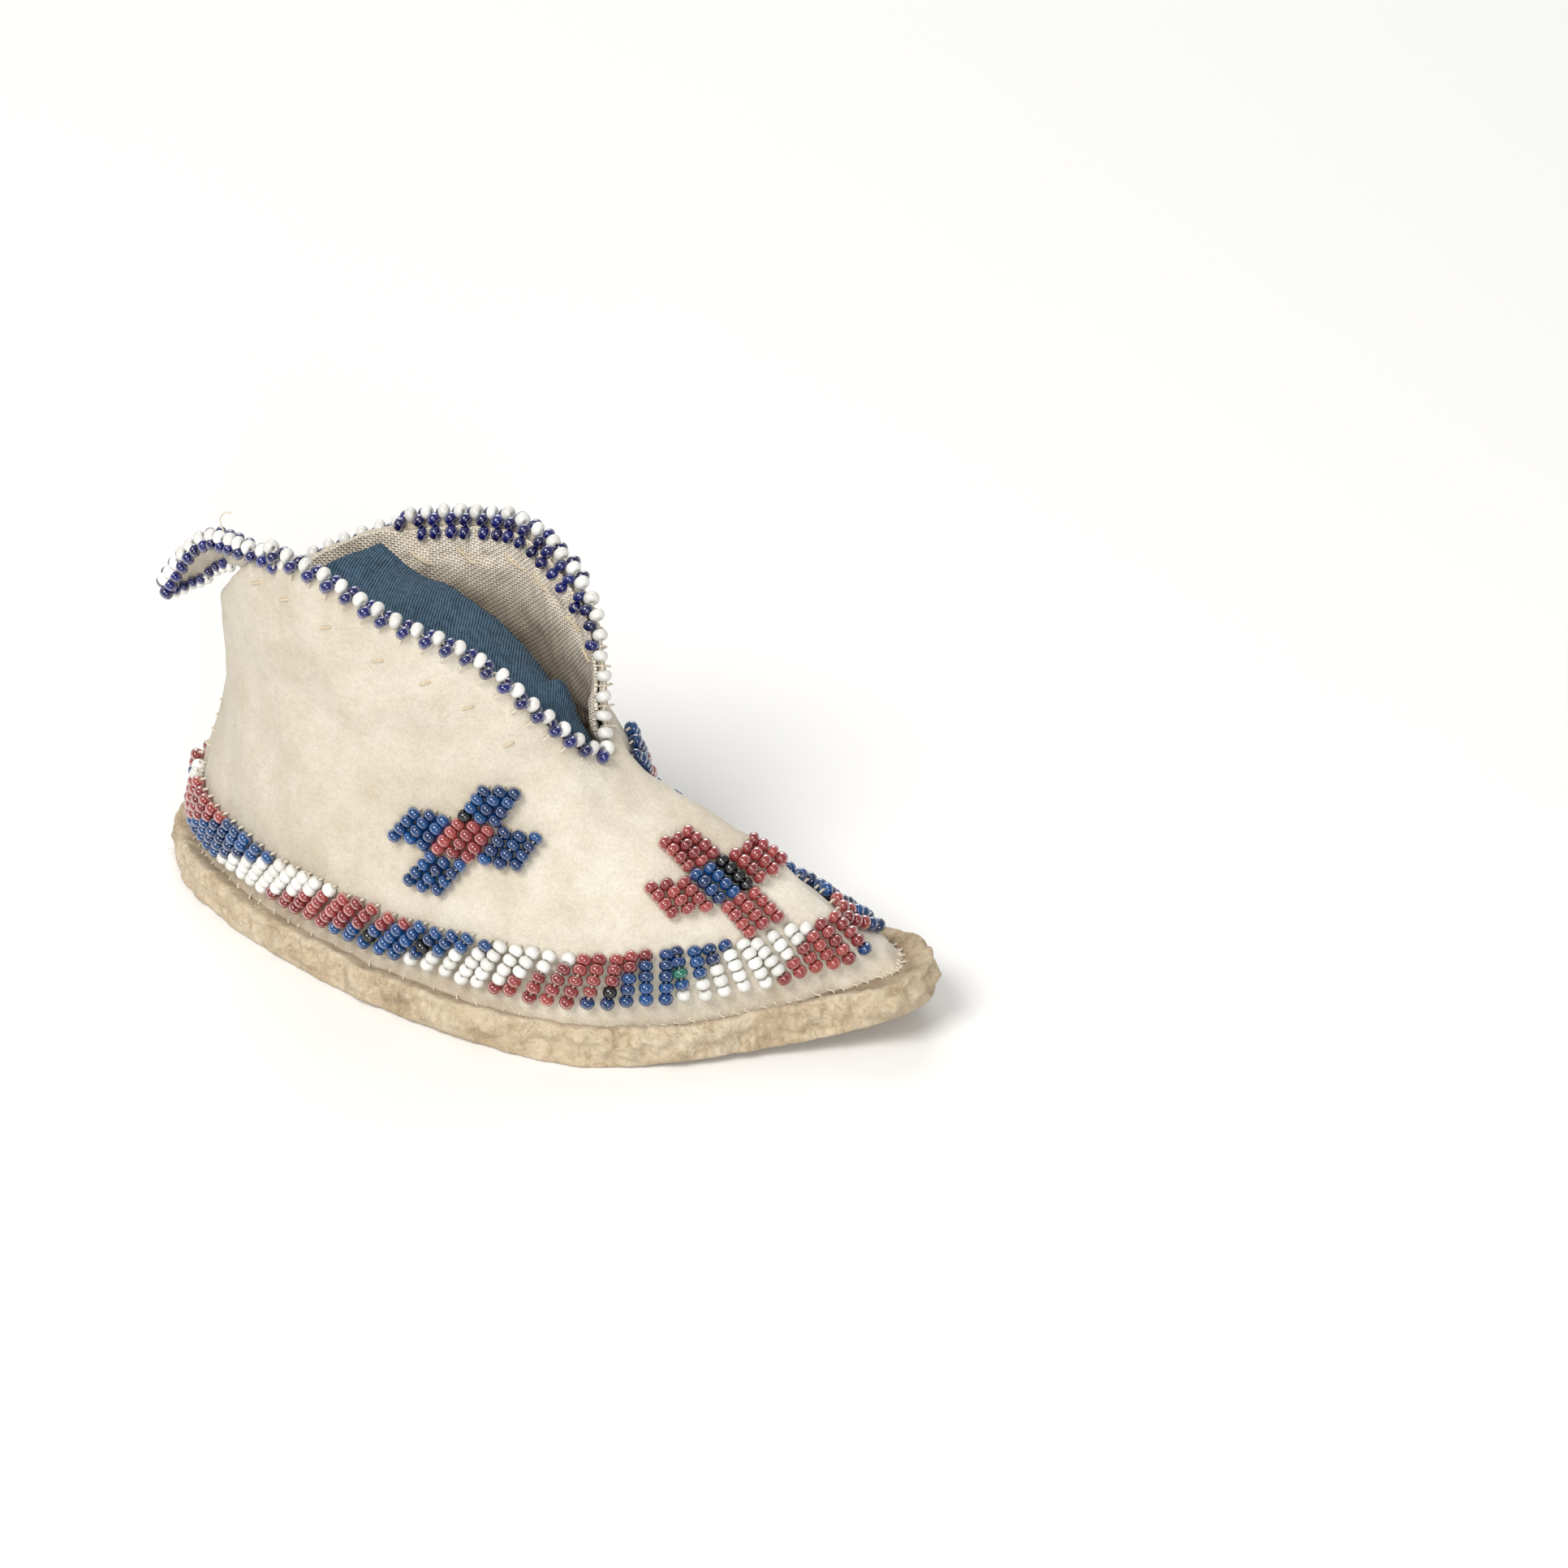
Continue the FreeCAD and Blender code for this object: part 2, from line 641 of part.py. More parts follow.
tongue_stitches = []
for i in range(3):
    y = 3.1 + 1.4 * i
    tongue_stitches.append(rod(V(7.2, y, 33.5), V(9.9, y, 33.9), STITCH * 0.7))
tongue_seam = plain("tongue_seam_stitches", Part.makeCompound(tongue_stitches))

# ---------------------------------------------------------------- names, checks, files
nodes = {
    "sole": sole_body,
    "upper": upper,
    "outer_lining": outer_lining,
    "inner_lining": inner_lining,
    "tongue": tongue,
    "edge_thread": edge_thread,
    "sole_seam_stitches": sole_seam,
    "heel_seam_stitches": heel_seam,
    "outer_lining_stitches": outer_lining_stitches,
    "inner_lining_stitches": inner_lining_stitches,
    "tongue_seam_stitches": tongue_seam,
}
for name in beads:
    nodes[name] = doc.getObjectsByLabel(name)[0]
for name, feature in nodes.items():
    label(feature, name)
doc.recompute()

for thing in doc.Objects:
    if "Invalid" in thing.State or "Error" in thing.State:
        raise RuntimeError("%s did not compute" % thing.Name)
os.makedirs("parts", exist_ok=True)
for name, feature in nodes.items():
    shape = feature.Shape
    if shape.isNull() or not shape.isValid():
        raise RuntimeError("%s has no valid shape" % name)
    shape.exportStep("parts/%s.step" % name)
    box = shape.BoundBox
    print("%-24s %4d solids  %9.1f mm3  x %.1f..%.1f  y %.1f..%.1f  z %.1f..%.1f" % (
        name, len(shape.Solids), shape.Volume, box.XMin, box.XMax, box.YMin, box.YMax, box.ZMin, box.ZMax))
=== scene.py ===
"""Child's beaded moccasin with a rawhide sole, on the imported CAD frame.

Shape functions work in millimetres and match the CAD model's. Meshes are written in metres.
Sides: OUTER is the little toe side (-Y), INNER the big toe side (+Y).
"""
import math

import bpy
import numpy as np
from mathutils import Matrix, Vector


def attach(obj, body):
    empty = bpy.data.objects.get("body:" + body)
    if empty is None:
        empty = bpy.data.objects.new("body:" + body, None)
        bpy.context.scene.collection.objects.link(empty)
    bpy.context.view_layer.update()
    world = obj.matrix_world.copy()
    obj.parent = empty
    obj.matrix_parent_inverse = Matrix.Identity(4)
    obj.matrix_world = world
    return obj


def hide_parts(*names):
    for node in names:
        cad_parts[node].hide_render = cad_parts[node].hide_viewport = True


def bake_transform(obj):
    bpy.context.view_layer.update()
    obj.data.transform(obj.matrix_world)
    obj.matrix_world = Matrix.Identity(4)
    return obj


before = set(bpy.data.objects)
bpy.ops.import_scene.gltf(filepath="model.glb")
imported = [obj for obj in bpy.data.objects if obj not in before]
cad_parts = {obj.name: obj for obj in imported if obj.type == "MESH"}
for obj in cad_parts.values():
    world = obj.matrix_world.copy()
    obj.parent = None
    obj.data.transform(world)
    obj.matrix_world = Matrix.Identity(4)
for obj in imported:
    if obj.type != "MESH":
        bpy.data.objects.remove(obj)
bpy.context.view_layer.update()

MM = 0.001
SHOE = "shoe"
OUTER, INNER = -1, 1
rng = np.random.default_rng(11)

# ---------- sizes (mm)
SOLE_PLAN = [
    (-63.5, 5), (-59.2, -6), (-49, -13.4), (-33, -19.8), (-10, -25), (7, -26), (25, -23.8), (36, -16.5),
    (47, -8.2), (58, 1), (63.5, 10), (60, 16.5), (45, 22.5), (20, 26), (-12, 25.2), (-39, 22.5), (-56, 16),
]
OUTER_RIM = [
    (0, 35), (10, 35.8), (20, 39), (35, 45), (48, 50.8), (62, 54.5), (76, 56.6), (90, 59.4),
    (104, 61.4), (118, 61.6), (131, 57), (145, 51.2), (160, 47), (180, 45),
]
INNER_RIM = [
    (0, 35), (10, 38.5), (20, 45), (30, 49.2), (47, 53.8), (60, 56.6), (72, 58.4), (86, 57.4),
    (111, 53.8), (129, 50.2), (145, 46.6), (160, 45.2), (180, 45),
]
SOLE_THICK = 5.0
SPRING_START, SPRING_RADIUS = 26.0, 140.0      # the toe turns up from this x, on this radius
RIM_WIDTH, TOE_RIM, HEEL_RIM = 3.0, 2.0, 1.0
INSTEP = 35.0                                  # height of the bottom of the V
ANKLE = (-21.0, 4.5, 32.5, 18.0)               # centre x, centre y, half length, half width
ANKLE_ROUND = 26.0                             # mean radius of the ankle, turns angles into mm
HIDE = 1.2
BEAD_R, BEAD_HALF, BEAD_HOLE = 1.05, 0.7, 0.24
BEAD_STEP, LANE_STEP = 1.55, 2.22
EDGE_STEPS = {OUTER: 3.3, INNER: 2.9}
STITCH_BELOW, STITCH_TURN = 5.5, 14.0          # lining stitches: mm below the rim, degrees apart
FOOT_SIDE, RIM_SIDE = 9.0, 50.0                # heights at which the sole's top and the rim are looked up


# ---------- shape of the foot
def unit(v):
    return v / np.maximum(np.linalg.norm(v, axis=-1, keepdims=True), 1e-9)


def limit(share):
    """Kept between 0 and 1."""
    return np.clip(share, 0, 1)


def ease(share):
    """Smooth step from 0 to 1."""
    return share * share * (3 - 2 * share)


def bump_at(value, centre, width):
    return np.exp(-((value - centre) / width) ** 2)


def closed_spline(points, count):
    """Points evenly spaced along a smooth closed curve through the given ones."""
    p = np.asarray(points, float)
    m = len(p)
    h = np.linalg.norm(np.roll(p, -1, 0) - p, axis=1)
    a = np.zeros((m, m))
    rhs = np.zeros((m, 2))
    for i in range(m):
        before, after = h[i - 1], h[i]
        a[i, i - 1] += before
        a[i, i] += 2 * (before + after)
        a[i, (i + 1) % m] += after
        rhs[i] = 6 * ((p[(i + 1) % m] - p[i]) / after - (p[i] - p[i - 1]) / before)
    bend = np.linalg.solve(a, rhs)
    ends = np.concatenate([[0], np.cumsum(h)])
    s = np.linspace(0, ends[-1], count, endpoint=False)
    k = np.clip(np.searchsorted(ends, s, side="right") - 1, 0, m - 1)
    u, hk, k1 = (s - ends[k])[:, None], h[k][:, None], (k + 1) % m
    v = hk - u
    return ((v ** 3 * bend[k] + u ** 3 * bend[k1]) / (6 * hk)
            + v / hk * (p[k] - bend[k] * hk ** 2 / 6) + u / hk * (p[k1] - bend[k1] * hk ** 2 / 6))


plan = closed_spline(SOLE_PLAN, 1440)
plan_along = np.roll(plan, -1, 0) - np.roll(plan, 1, 0)
plan_out = np.stack([plan_along[:, 1], -plan_along[:, 0]], 1)
plan_out /= np.linalg.norm(plan_out, axis=1)[:, None]
plan_out *= np.sign((plan_out * (plan - plan.mean(0))).sum(1).mean())
plan_angle = np.arctan2(plan[:, 1] / 26.0, plan[:, 0] / 63.5)
order = np.argsort(plan_angle)
plan, plan_out, plan_angle = plan[order], plan_out[order], plan_angle[order]


def plan_point(t, inset):
    """Sole plan at angles t, moved inwards by inset: x and y."""
    found = [np.interp(t, plan_angle, v, period=2 * np.pi)
             for v in (plan[:, 0], plan[:, 1], plan_out[:, 0], plan_out[:, 1])]
    return found[0] - inset * found[2], found[1] - inset * found[3]


def spring(x, radius):
    past = np.clip(x - SPRING_START, 0, None)
    return SPRING_RADIUS - np.sqrt(radius ** 2 - past ** 2)


def sole_bottom(x):
    return spring(x, SPRING_RADIUS)


def sole_top(x):
    return spring(x, SPRING_RADIUS - SOLE_THICK)


def foot(t, z):
    """Points of the upper's outer face at angles t and heights z."""
    t, z = np.broadcast_arrays(np.asarray(t, float), np.asarray(z, float))
    c = np.cos(t)
    rim = RIM_WIDTH + TOE_RIM * limit(c) ** 8 + HEEL_RIM * limit(-c) ** 4
    low_x, low_y = plan_point(t, rim)
    tuck = 0.5 * np.clip((z - INSTEP) / 25.0, 0, 2)
    high_x = ANKLE[0] + (ANKLE[2] - tuck) * c
    high_y = ANKLE[1] + (ANKLE[3] - tuck) * np.sin(t)
    rise = limit((z - SOLE_THICK) / (INSTEP - SOLE_THICK))
    front = limit(c) ** 2
    share = front * rise ** 1.7 + (1 - front) * ease(rise)
    return np.stack([low_x + (high_x - low_x) * share, low_y + (high_y - low_y) * share, z], -1)


def foot_axes(t, z):
    """Unit vectors round the foot, up the wall and out of it."""
    around = unit(foot(t + 0.01, z) - foot(t - 0.01, z))
    rise = unit(foot(t, z + 0.2) - foot(t, z - 0.2))
    out = unit(np.cross(around, rise))
    return around, unit(np.cross(out, around)), out


def rim_height(t):
    """Height of the flaps' rim at angles t (radians), eased between the listed heights."""
    t = np.arctan2(np.sin(t), np.cos(t))
    found = np.zeros(np.shape(t))
    for knots, mine in ((OUTER_RIM, t < 0), (INNER_RIM, t >= 0)):
        d, h = np.array(knots, float).T
        slope = np.gradient(h, d)
        q = np.clip(np.degrees(np.abs(t)), 0, 180)
        k = np.clip(np.searchsorted(d, q) - 1, 0, len(d) - 2)
        span = d[k + 1] - d[k]
        u = (q - d[k]) / span
        eased = ((2 * u ** 3 - 3 * u ** 2 + 1) * h[k] + (u ** 3 - 2 * u ** 2 + u) * slope[k] * span
                 + (3 * u ** 2 - 2 * u ** 3) * h[k + 1] + (u ** 3 - u ** 2) * slope[k + 1] * span)
        found = np.where(mine, eased, found)
    return found


def waves(p, size, seed, count=9):
    """Smooth seeded unevenness about -1 to 1, with features of the given size in mm."""
    r = np.random.default_rng(seed)
    total = np.zeros(p.shape[:-1])
    for _ in range(count):
        d = unit(r.normal(size=3)) * 2 * np.pi / (size * r.uniform(0.7, 1.5))
        total = total + np.sin(p @ d + r.uniform(0, 2 * np.pi))
    return total / math.sqrt(count)


# Place along X, and how far the hide has sunk there on the inner side.
SUNKEN = [
    (6, 0), (10, 1.5), (14, 4.8), (17, 5.4), (21, 4.2), (27, 2.6), (34, 1.4), (44, 1.7), (52, 2.1),
]


def sunken(t, p):
    """How far the hide has sunk on the inner side of the instep and toes."""
    x, depth = np.array(SUNKEN, float).T
    degrees = np.degrees(t)
    near = ease(limit((degrees - 4) / 30))
    far = ease(limit((degrees - 70) / 40))
    above = limit((p[..., 2] - sole_top(p[..., 0]) - 3) / 5)
    return np.interp(p[..., 0], x, depth) * near * (1 - far) * above


HEEL_ROUND = 22.0        # radius of the heel, turns angles from its seam into mm


def hide_relief(t, z):
    """How far the soft hide stands off its ideal surface: slack, gathers and the heel seam."""
    p = foot(t, z)
    x = p[..., 0]
    base = sole_top(x)
    rim = rim_height(t)
    angle = np.arctan2(np.sin(t), np.cos(t))
    high = limit((z - base) / 14.0)
    slack = (0.5 * waves(p, 34, 3) + 0.22 * waves(p, 13, 4)) * high + 0.07 * waves(p, 5, 5)
    gather = 0.22 * waves(p * [1, 1, 0.15], 4.2, 6) * np.exp(-(z - base) / 3.0)
    pucker = 0.16 * waves(p, 4.0, 7) * np.exp(-np.abs(rim - z) / 2.5)
    heel = (np.pi - np.abs(angle)) * HEEL_ROUND
    ridge = (0.55 * bump_at(heel, 0, 1.1) - 0.35 * bump_at(heel, 2.4, 1.2)) * limit((rim - z) / 4)
    ankle = -0.9 * bump_at(z + 0.1 * x, 36, 4.5) * bump_at(x, -34, 22) * (t < 0)
    folds = 0.22 * waves(p * [0.35, 1, 1], 4.5, 8) * bump_at(x, 14, 9) * bump_at(z, 27, 6)
    return slack + gather + pucker + ridge + ankle + folds - sunken(angle, p)


def soft_foot(t, z):
    """Foot points with the instep's bend eased over a few millimetres."""
    level = foot(t, z)
    rises = np.linspace(-4.2, 4.2, 9)
    shares = np.cos(rises / 5.2 * np.pi / 2) ** 2
    eased = sum(share * foot(t, z + rise) for share, rise in zip(shares / shares.sum(), rises))
    high = limit((z - 14) / 8)[..., None]
    mixed = level + (eased - level) * high
    mixed[..., 2] = z
    return mixed


def hide(t, z, depth=0.0):
    """Points on the real hide: outer face, or depth mm below it."""
    t, z = np.broadcast_arrays(np.asarray(t, float), np.asarray(z, float))
    around = foot(t + 0.01, z) - foot(t - 0.01, z)
    out = unit(np.cross(unit(around), unit(soft_foot(t, z + 1.0) - soft_foot(t, z - 1.0))))
    return soft_foot(t, z) + out * (hide_relief(t, z) - depth)[..., None]


# ---------- mesh tools
def mesh_object(name, points, faces, material, body=SHOE, uv=None, tone=None, smooth=True):
    """A mesh piece from points in mm, riding on a body unless body is None."""
    mesh = bpy.data.meshes.new(name)
    points = np.asarray(points, float).reshape(-1, 3) * MM
    faces = np.asarray(faces, dtype=np.int32)
    mesh.vertices.add(len(points))
    mesh.vertices.foreach_set("co", points.ravel())
    width = faces.shape[1]
    mesh.loops.add(faces.size)
    mesh.loops.foreach_set("vertex_index", faces.ravel())
    mesh.polygons.add(len(faces))
    mesh.polygons.foreach_set("loop_start", np.arange(0, faces.size, width, dtype=np.int32))
    mesh.update(calc_edges=True)
    mesh.validate()
    if smooth:
        mesh.polygons.foreach_set("use_smooth", np.ones(len(mesh.polygons), dtype=bool))
    if uv is not None:
        layer = mesh.uv_layers.new(name="UVMap")
        uv = np.asarray(uv, float).reshape(-1, 2)
        layer.data.foreach_set("uv", uv[faces.ravel()].ravel())
    if tone is not None:
        attribute = mesh.attributes.new("tone", "FLOAT", "POINT")
        attribute.data.foreach_set("value", np.asarray(tone, float).ravel())
    mesh.materials.append(material)
    piece = bpy.data.objects.new(name, mesh)
    bpy.context.scene.collection.objects.link(piece)
    if body:
        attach(piece, body)
    return piece


def grid_faces(rows, columns, wrap_columns=False, wrap_rows=False, start=0):
    """Quads of a rows by columns grid of points."""
    r = np.arange(rows if wrap_rows else rows - 1)
    c = np.arange(columns if wrap_columns else columns - 1)
    r, c = np.meshgrid(r, c, indexing="ij")
    r1, c1 = (r + 1) % rows, (c + 1) % columns
    quads = np.stack([r * columns + c, r * columns + c1, r1 * columns + c1, r1 * columns + c], -1)
    return quads.reshape(-1, 4) + start


def slab(top, bottom):
    """Closed mesh between two equal grids of points: points and faces, top facing the viewer."""
    rows, columns = top.shape[:2]
    count = rows * columns
    index = np.arange(count).reshape(rows, columns)
    border = np.concatenate([index[0, :-1], index[:-1, -1], index[-1, :0:-1], index[:0:-1, 0]])
    after = np.roll(border, -1)
    sides = np.stack([after, border, border + count, after + count], -1)
    underside = grid_faces(rows, columns, start=count)[:, ::-1]
    faces = np.concatenate([grid_faces(rows, columns), underside, sides])
    return np.concatenate([top.reshape(-1, 3), bottom.reshape(-1, 3)]), faces


def open_spline(points, share):
    """Points at shares 0 to 1 along a smooth open curve through the given ones (Catmull-Rom)."""
    p = np.asarray(points, float)
    p = np.concatenate([[2 * p[0] - p[1]], p, [2 * p[-1] - p[-2]]])
    x = limit(np.asarray(share, float)) * (len(p) - 3)
    k = np.minimum(x.astype(int), len(p) - 4)
    u = (x - k)[..., None]
    a, b, c, d = p[k], p[k + 1], p[k + 2], p[k + 3]
    square, cube = 2 * a - 5 * b + 4 * c - d, 3 * b - a - 3 * c + d
    return 0.5 * (2 * b + (c - a) * u + square * u ** 2 + cube * u ** 3)


def smooth_path(points, count):
    """Count points along a smooth open curve."""
    return open_spline(points, np.linspace(0, 1, count))


def tube_points(path, radius, sides=6):
    """Rings round a path, closed by shrinking both ends: points and faces."""
    path = np.asarray(path, float)
    along = unit(np.gradient(path, axis=0))
    helper = np.array([0.31, 0.52, 0.79])
    a = unit(np.cross(along, helper))
    b = np.cross(along, a)
    angle = np.linspace(0, 2 * np.pi, sides, endpoint=False)
    ring = np.cos(angle)[None, :, None] * a[:, None] + np.sin(angle)[None, :, None] * b[:, None]
    rings = path[:, None] + ring * radius
    first = path[:1, None] - along[:1, None] * radius * 0.5 + ring[:1] * radius * 0.25
    last = path[-1:, None] + along[-1:, None] * radius * 0.5 + ring[-1:] * radius * 0.25
    rings = np.concatenate([first, rings, last])
    return rings.reshape(-1, 3), grid_faces(len(rings), sides, wrap_columns=True)


def tubes_object(name, paths, radius, material, cad=None, sides=6):
    """Many threads as one piece, all of one radius or each of its own, in place of a CAD node if any."""
    points, faces, start = [], [], 0
    for path, size in zip(paths, np.broadcast_to(radius, len(paths))):
        p, f = tube_points(path, size, sides)
        points.append(p)
        faces.append(f + start)
        start += len(p)
    piece = mesh_object(name, np.concatenate(points), np.concatenate(faces), material)
    if cad:
        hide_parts(cad)


# ---------- material tools
class Nodes:
    """Short names for building one material."""

    def __init__(self, name):
        self.material = bpy.data.materials.new(name)
        self.material.use_nodes = True
        self.tree = self.material.node_tree
        self.shader = self.tree.nodes["Principled BSDF"]

    def node(self, kind, **settings):
        node = self.tree.nodes.new(kind)
        for key, value in settings.items():
            if hasattr(node, key):
                setattr(node, key, value)
            else:
                node.inputs[key.replace("_", " ")].default_value = value
        return node

    def link(self, a, b):
        self.tree.links.new(a, b)

    def put(self, value, socket):
        """Feed a socket from another node, or set it to a number or colour."""
        if isinstance(value, bpy.types.NodeSocket):
            self.link(value, socket)
        else:
            socket.default_value = (*value, 1) if hasattr(value, "__len__") else value

    def position(self, scale=(1, 1, 1)):
        """Object position in mm, stretched by scale."""
        where = self.node("ShaderNodeTexCoord")
        mapping = self.node("ShaderNodeMapping")
        mapping.inputs["Scale"].default_value = [1000 * s for s in scale]
        self.link(where.outputs["Object"], mapping.inputs["Vector"])
        return mapping.outputs["Vector"]

    def noise(self, size, detail=4.0, rough=0.55, scale=(1, 1, 1), warp=0.0):
        """Noise with features of size mm."""
        node = self.node("ShaderNodeTexNoise")
        node.inputs["Scale"].default_value = 1.0 / size
        node.inputs["Detail"].default_value = detail
        node.inputs["Roughness"].default_value = rough
        node.inputs["Distortion"].default_value = warp
        self.link(self.position(scale), node.inputs["Vector"])
        return node.outputs["Fac"]

    def ramp(self, value, *stops):
        node = self.node("ShaderNodeValToRGB")
        stop = node.color_ramp.elements
        while len(stop) < len(stops):
            stop.new(0.5)
        for element, (place, colour) in zip(stop, stops):
            element.position = place
            element.color = (*colour, 1) if hasattr(colour, "__len__") else (colour, colour, colour, 1)
        self.link(value, node.inputs["Fac"])
        return node.outputs["Color"]

    def tone(self):
        """The piece's tone at each point: a bead's own shade, soiling of the hide and sole, painted shade on
        the canvas.
        """
        return self.node("ShaderNodeAttribute", attribute_name="tone").outputs["Fac"]

    def times(self, colour, pattern):
        return self.mix(1.0, colour, pattern, "MULTIPLY")

    def mix(self, share, a, b, blend="MIX"):
        node = self.node("ShaderNodeMix", data_type="RGBA", blend_type=blend)
        for value, place in ((share, 0), (a, 6), (b, 7)):
            self.put(value, node.inputs[place])
        return node.outputs[2]

    def math(self, operation, a, b=0.0):
        node = self.node("ShaderNodeMath", operation=operation)
        self.put(a, node.inputs[0])
        self.put(b, node.inputs[1])
        return node.outputs[0]

    def bump(self, height, depth, strength=1.0, under=None):
        """Bump of depth mm."""
        node = self.node("ShaderNodeBump")
        node.inputs["Distance"].default_value = depth * MM
        node.inputs["Strength"].default_value = strength
        self.link(height, node.inputs["Height"])
        if under is not None:
            self.link(under, node.inputs["Normal"])
        return node.outputs["Normal"]

    def finish(self, colour=None, rough=None, normal=None, **sockets):
        for value, socket in ((colour, "Base Color"), (rough, "Roughness"), (normal, "Normal")):
            if value is not None:
                self.put(value, self.shader.inputs[socket])
        for key, value in sockets.items():
            self.shader.inputs[key.replace("_", " ")].default_value = value
        return self.material


def buckskin():
    """Pale smoked hide: cloudy cream with a fine nap, tan stains, flecks and a soiled edge by the sole."""
    n = Nodes("buckskin")
    cloud = n.ramp(n.noise(24, 6, 0.65, warp=0.6),
                   (0.3, (0.655, 0.575, 0.455)), (0.48, (0.725, 0.66, 0.545)), (0.66, (0.785, 0.73, 0.62)))
    # Lighter towards the toe: partly the hide's own greyer heel, partly painted light on the better lit
    # front.
    along = n.node("ShaderNodeSeparateXYZ")
    n.link(n.position(), along.inputs["Vector"])
    forward = n.node("ShaderNodeMapRange", From_Min=-62.0, From_Max=40.0)
    n.link(along.outputs[0], forward.inputs["Value"])
    greyed_heel_and_painted_light = n.ramp(forward.outputs["Result"], (0.0, (0.75, 0.735, 0.71)), (0.28, (0.82, 0.815, 0.805)),
                  (0.62, (0.89, 0.89, 0.89)), (1.0, (0.97, 0.98, 0.99)))
    blotch = n.ramp(n.noise(5, 5, 0.65), (0.32, (0.92, 0.9, 0.86)), (0.58, 1.0))
    colour = n.times(n.times(cloud, greyed_heel_and_painted_light), blotch)
    stain = n.ramp(n.noise(8, 5, 0.65, warp=1.4), (0.62, 0.0), (0.78, 1.0))
    colour = n.mix(n.math("MULTIPLY", stain, 0.45), colour, (0.5, 0.38, 0.24))
    fleck = n.ramp(n.noise(1.0, 3, 0.6, (1, 1, 0.4), 1.0), (0.72, 0.0), (0.8, 1.0))
    colour = n.mix(n.math("MULTIPLY", fleck, 0.55), colour, (0.3, 0.21, 0.13))
    soil_and_painted_shade = n.tone()
    patchy = n.ramp(n.noise(3.0, 5, 0.7), (0.35, 0.15), (0.65, 0.75))
    colour = n.mix(n.math("MULTIPLY", soil_and_painted_shade, patchy), colour, (0.42, 0.3, 0.19))
    nap = n.noise(0.42, 4, 0.75)
    colour = n.times(colour, n.ramp(nap, (0.28, 0.84), (0.68, 1.05)))
    pores = n.noise(1.3, 5, 0.7, (1, 1, 1.6))
    colour = n.times(colour, n.ramp(pores, (0.3, 0.93), (0.55, 1.0)))
    scuff = n.noise(3.2, 5, 0.7, (1, 1, 0.5), 0.8)
    normal = n.bump(scuff, 0.35, 0.55)
    normal = n.bump(pores, 0.2, 0.6, normal)
    normal = n.bump(nap, 0.14, 0.75, normal)
    return n.finish(colour, 0.9, normal, Sheen_Weight=0.18, Sheen_Roughness=0.5, Specular_IOR_Level=0.2)


def rawhide():
    """Dry rawhide: cream and tan, fibrous and torn along the cut edge."""
    n = Nodes("rawhide")
    cloud = n.ramp(n.noise(12, 6, 0.7, warp=1.0), (0.3, (0.4, 0.305, 0.195)), (0.47, (0.58, 0.465, 0.32)),
                   (0.66, (0.69, 0.59, 0.445)))
    fibre = n.noise(2.8, 8, 0.7, (1, 1, 0.8), 1.2)
    colour = n.times(cloud, n.ramp(fibre, (0.34, (0.76, 0.7, 0.62)), (0.5, 0.98), (0.66, 1.08)))
    fuzz = n.noise(0.38, 4, 0.75)
    colour = n.times(colour, n.ramp(fuzz, (0.3, 0.88), (0.68, 1.05)))
    tear = n.noise(5.5, 8, 0.72, (1, 1, 0.9), 2.6)
    seam = n.ramp(n.math("ABSOLUTE", n.math("SUBTRACT", tear, 0.5)), (0.0, 0.0), (0.014, 1.0))
    worn = n.ramp(n.noise(7, 4, 0.6), (0.42, 0.25), (0.62, 1.0))
    torn = n.times(colour, n.ramp(seam, (0.0, (0.55, 0.43, 0.32)), (0.8, 1.0)))
    colour = n.mix(worn, torn, colour)
    soil_and_painted_shade = n.tone()
    patchy = n.ramp(n.noise(4.0, 5, 0.7), (0.3, 0.35), (0.6, 0.85))
    colour = n.mix(n.math("MULTIPLY", soil_and_painted_shade, patchy), colour, (0.26, 0.175, 0.1))
    normal = n.bump(seam, 0.2, 0.4)
    normal = n.bump(fibre, 0.7, 0.6, normal)
    normal = n.bump(fuzz, 0.2, 0.75, normal)
    return n.finish(colour, 0.9, normal, Sheen_Weight=0.1, Specular_IOR_Level=0.25)


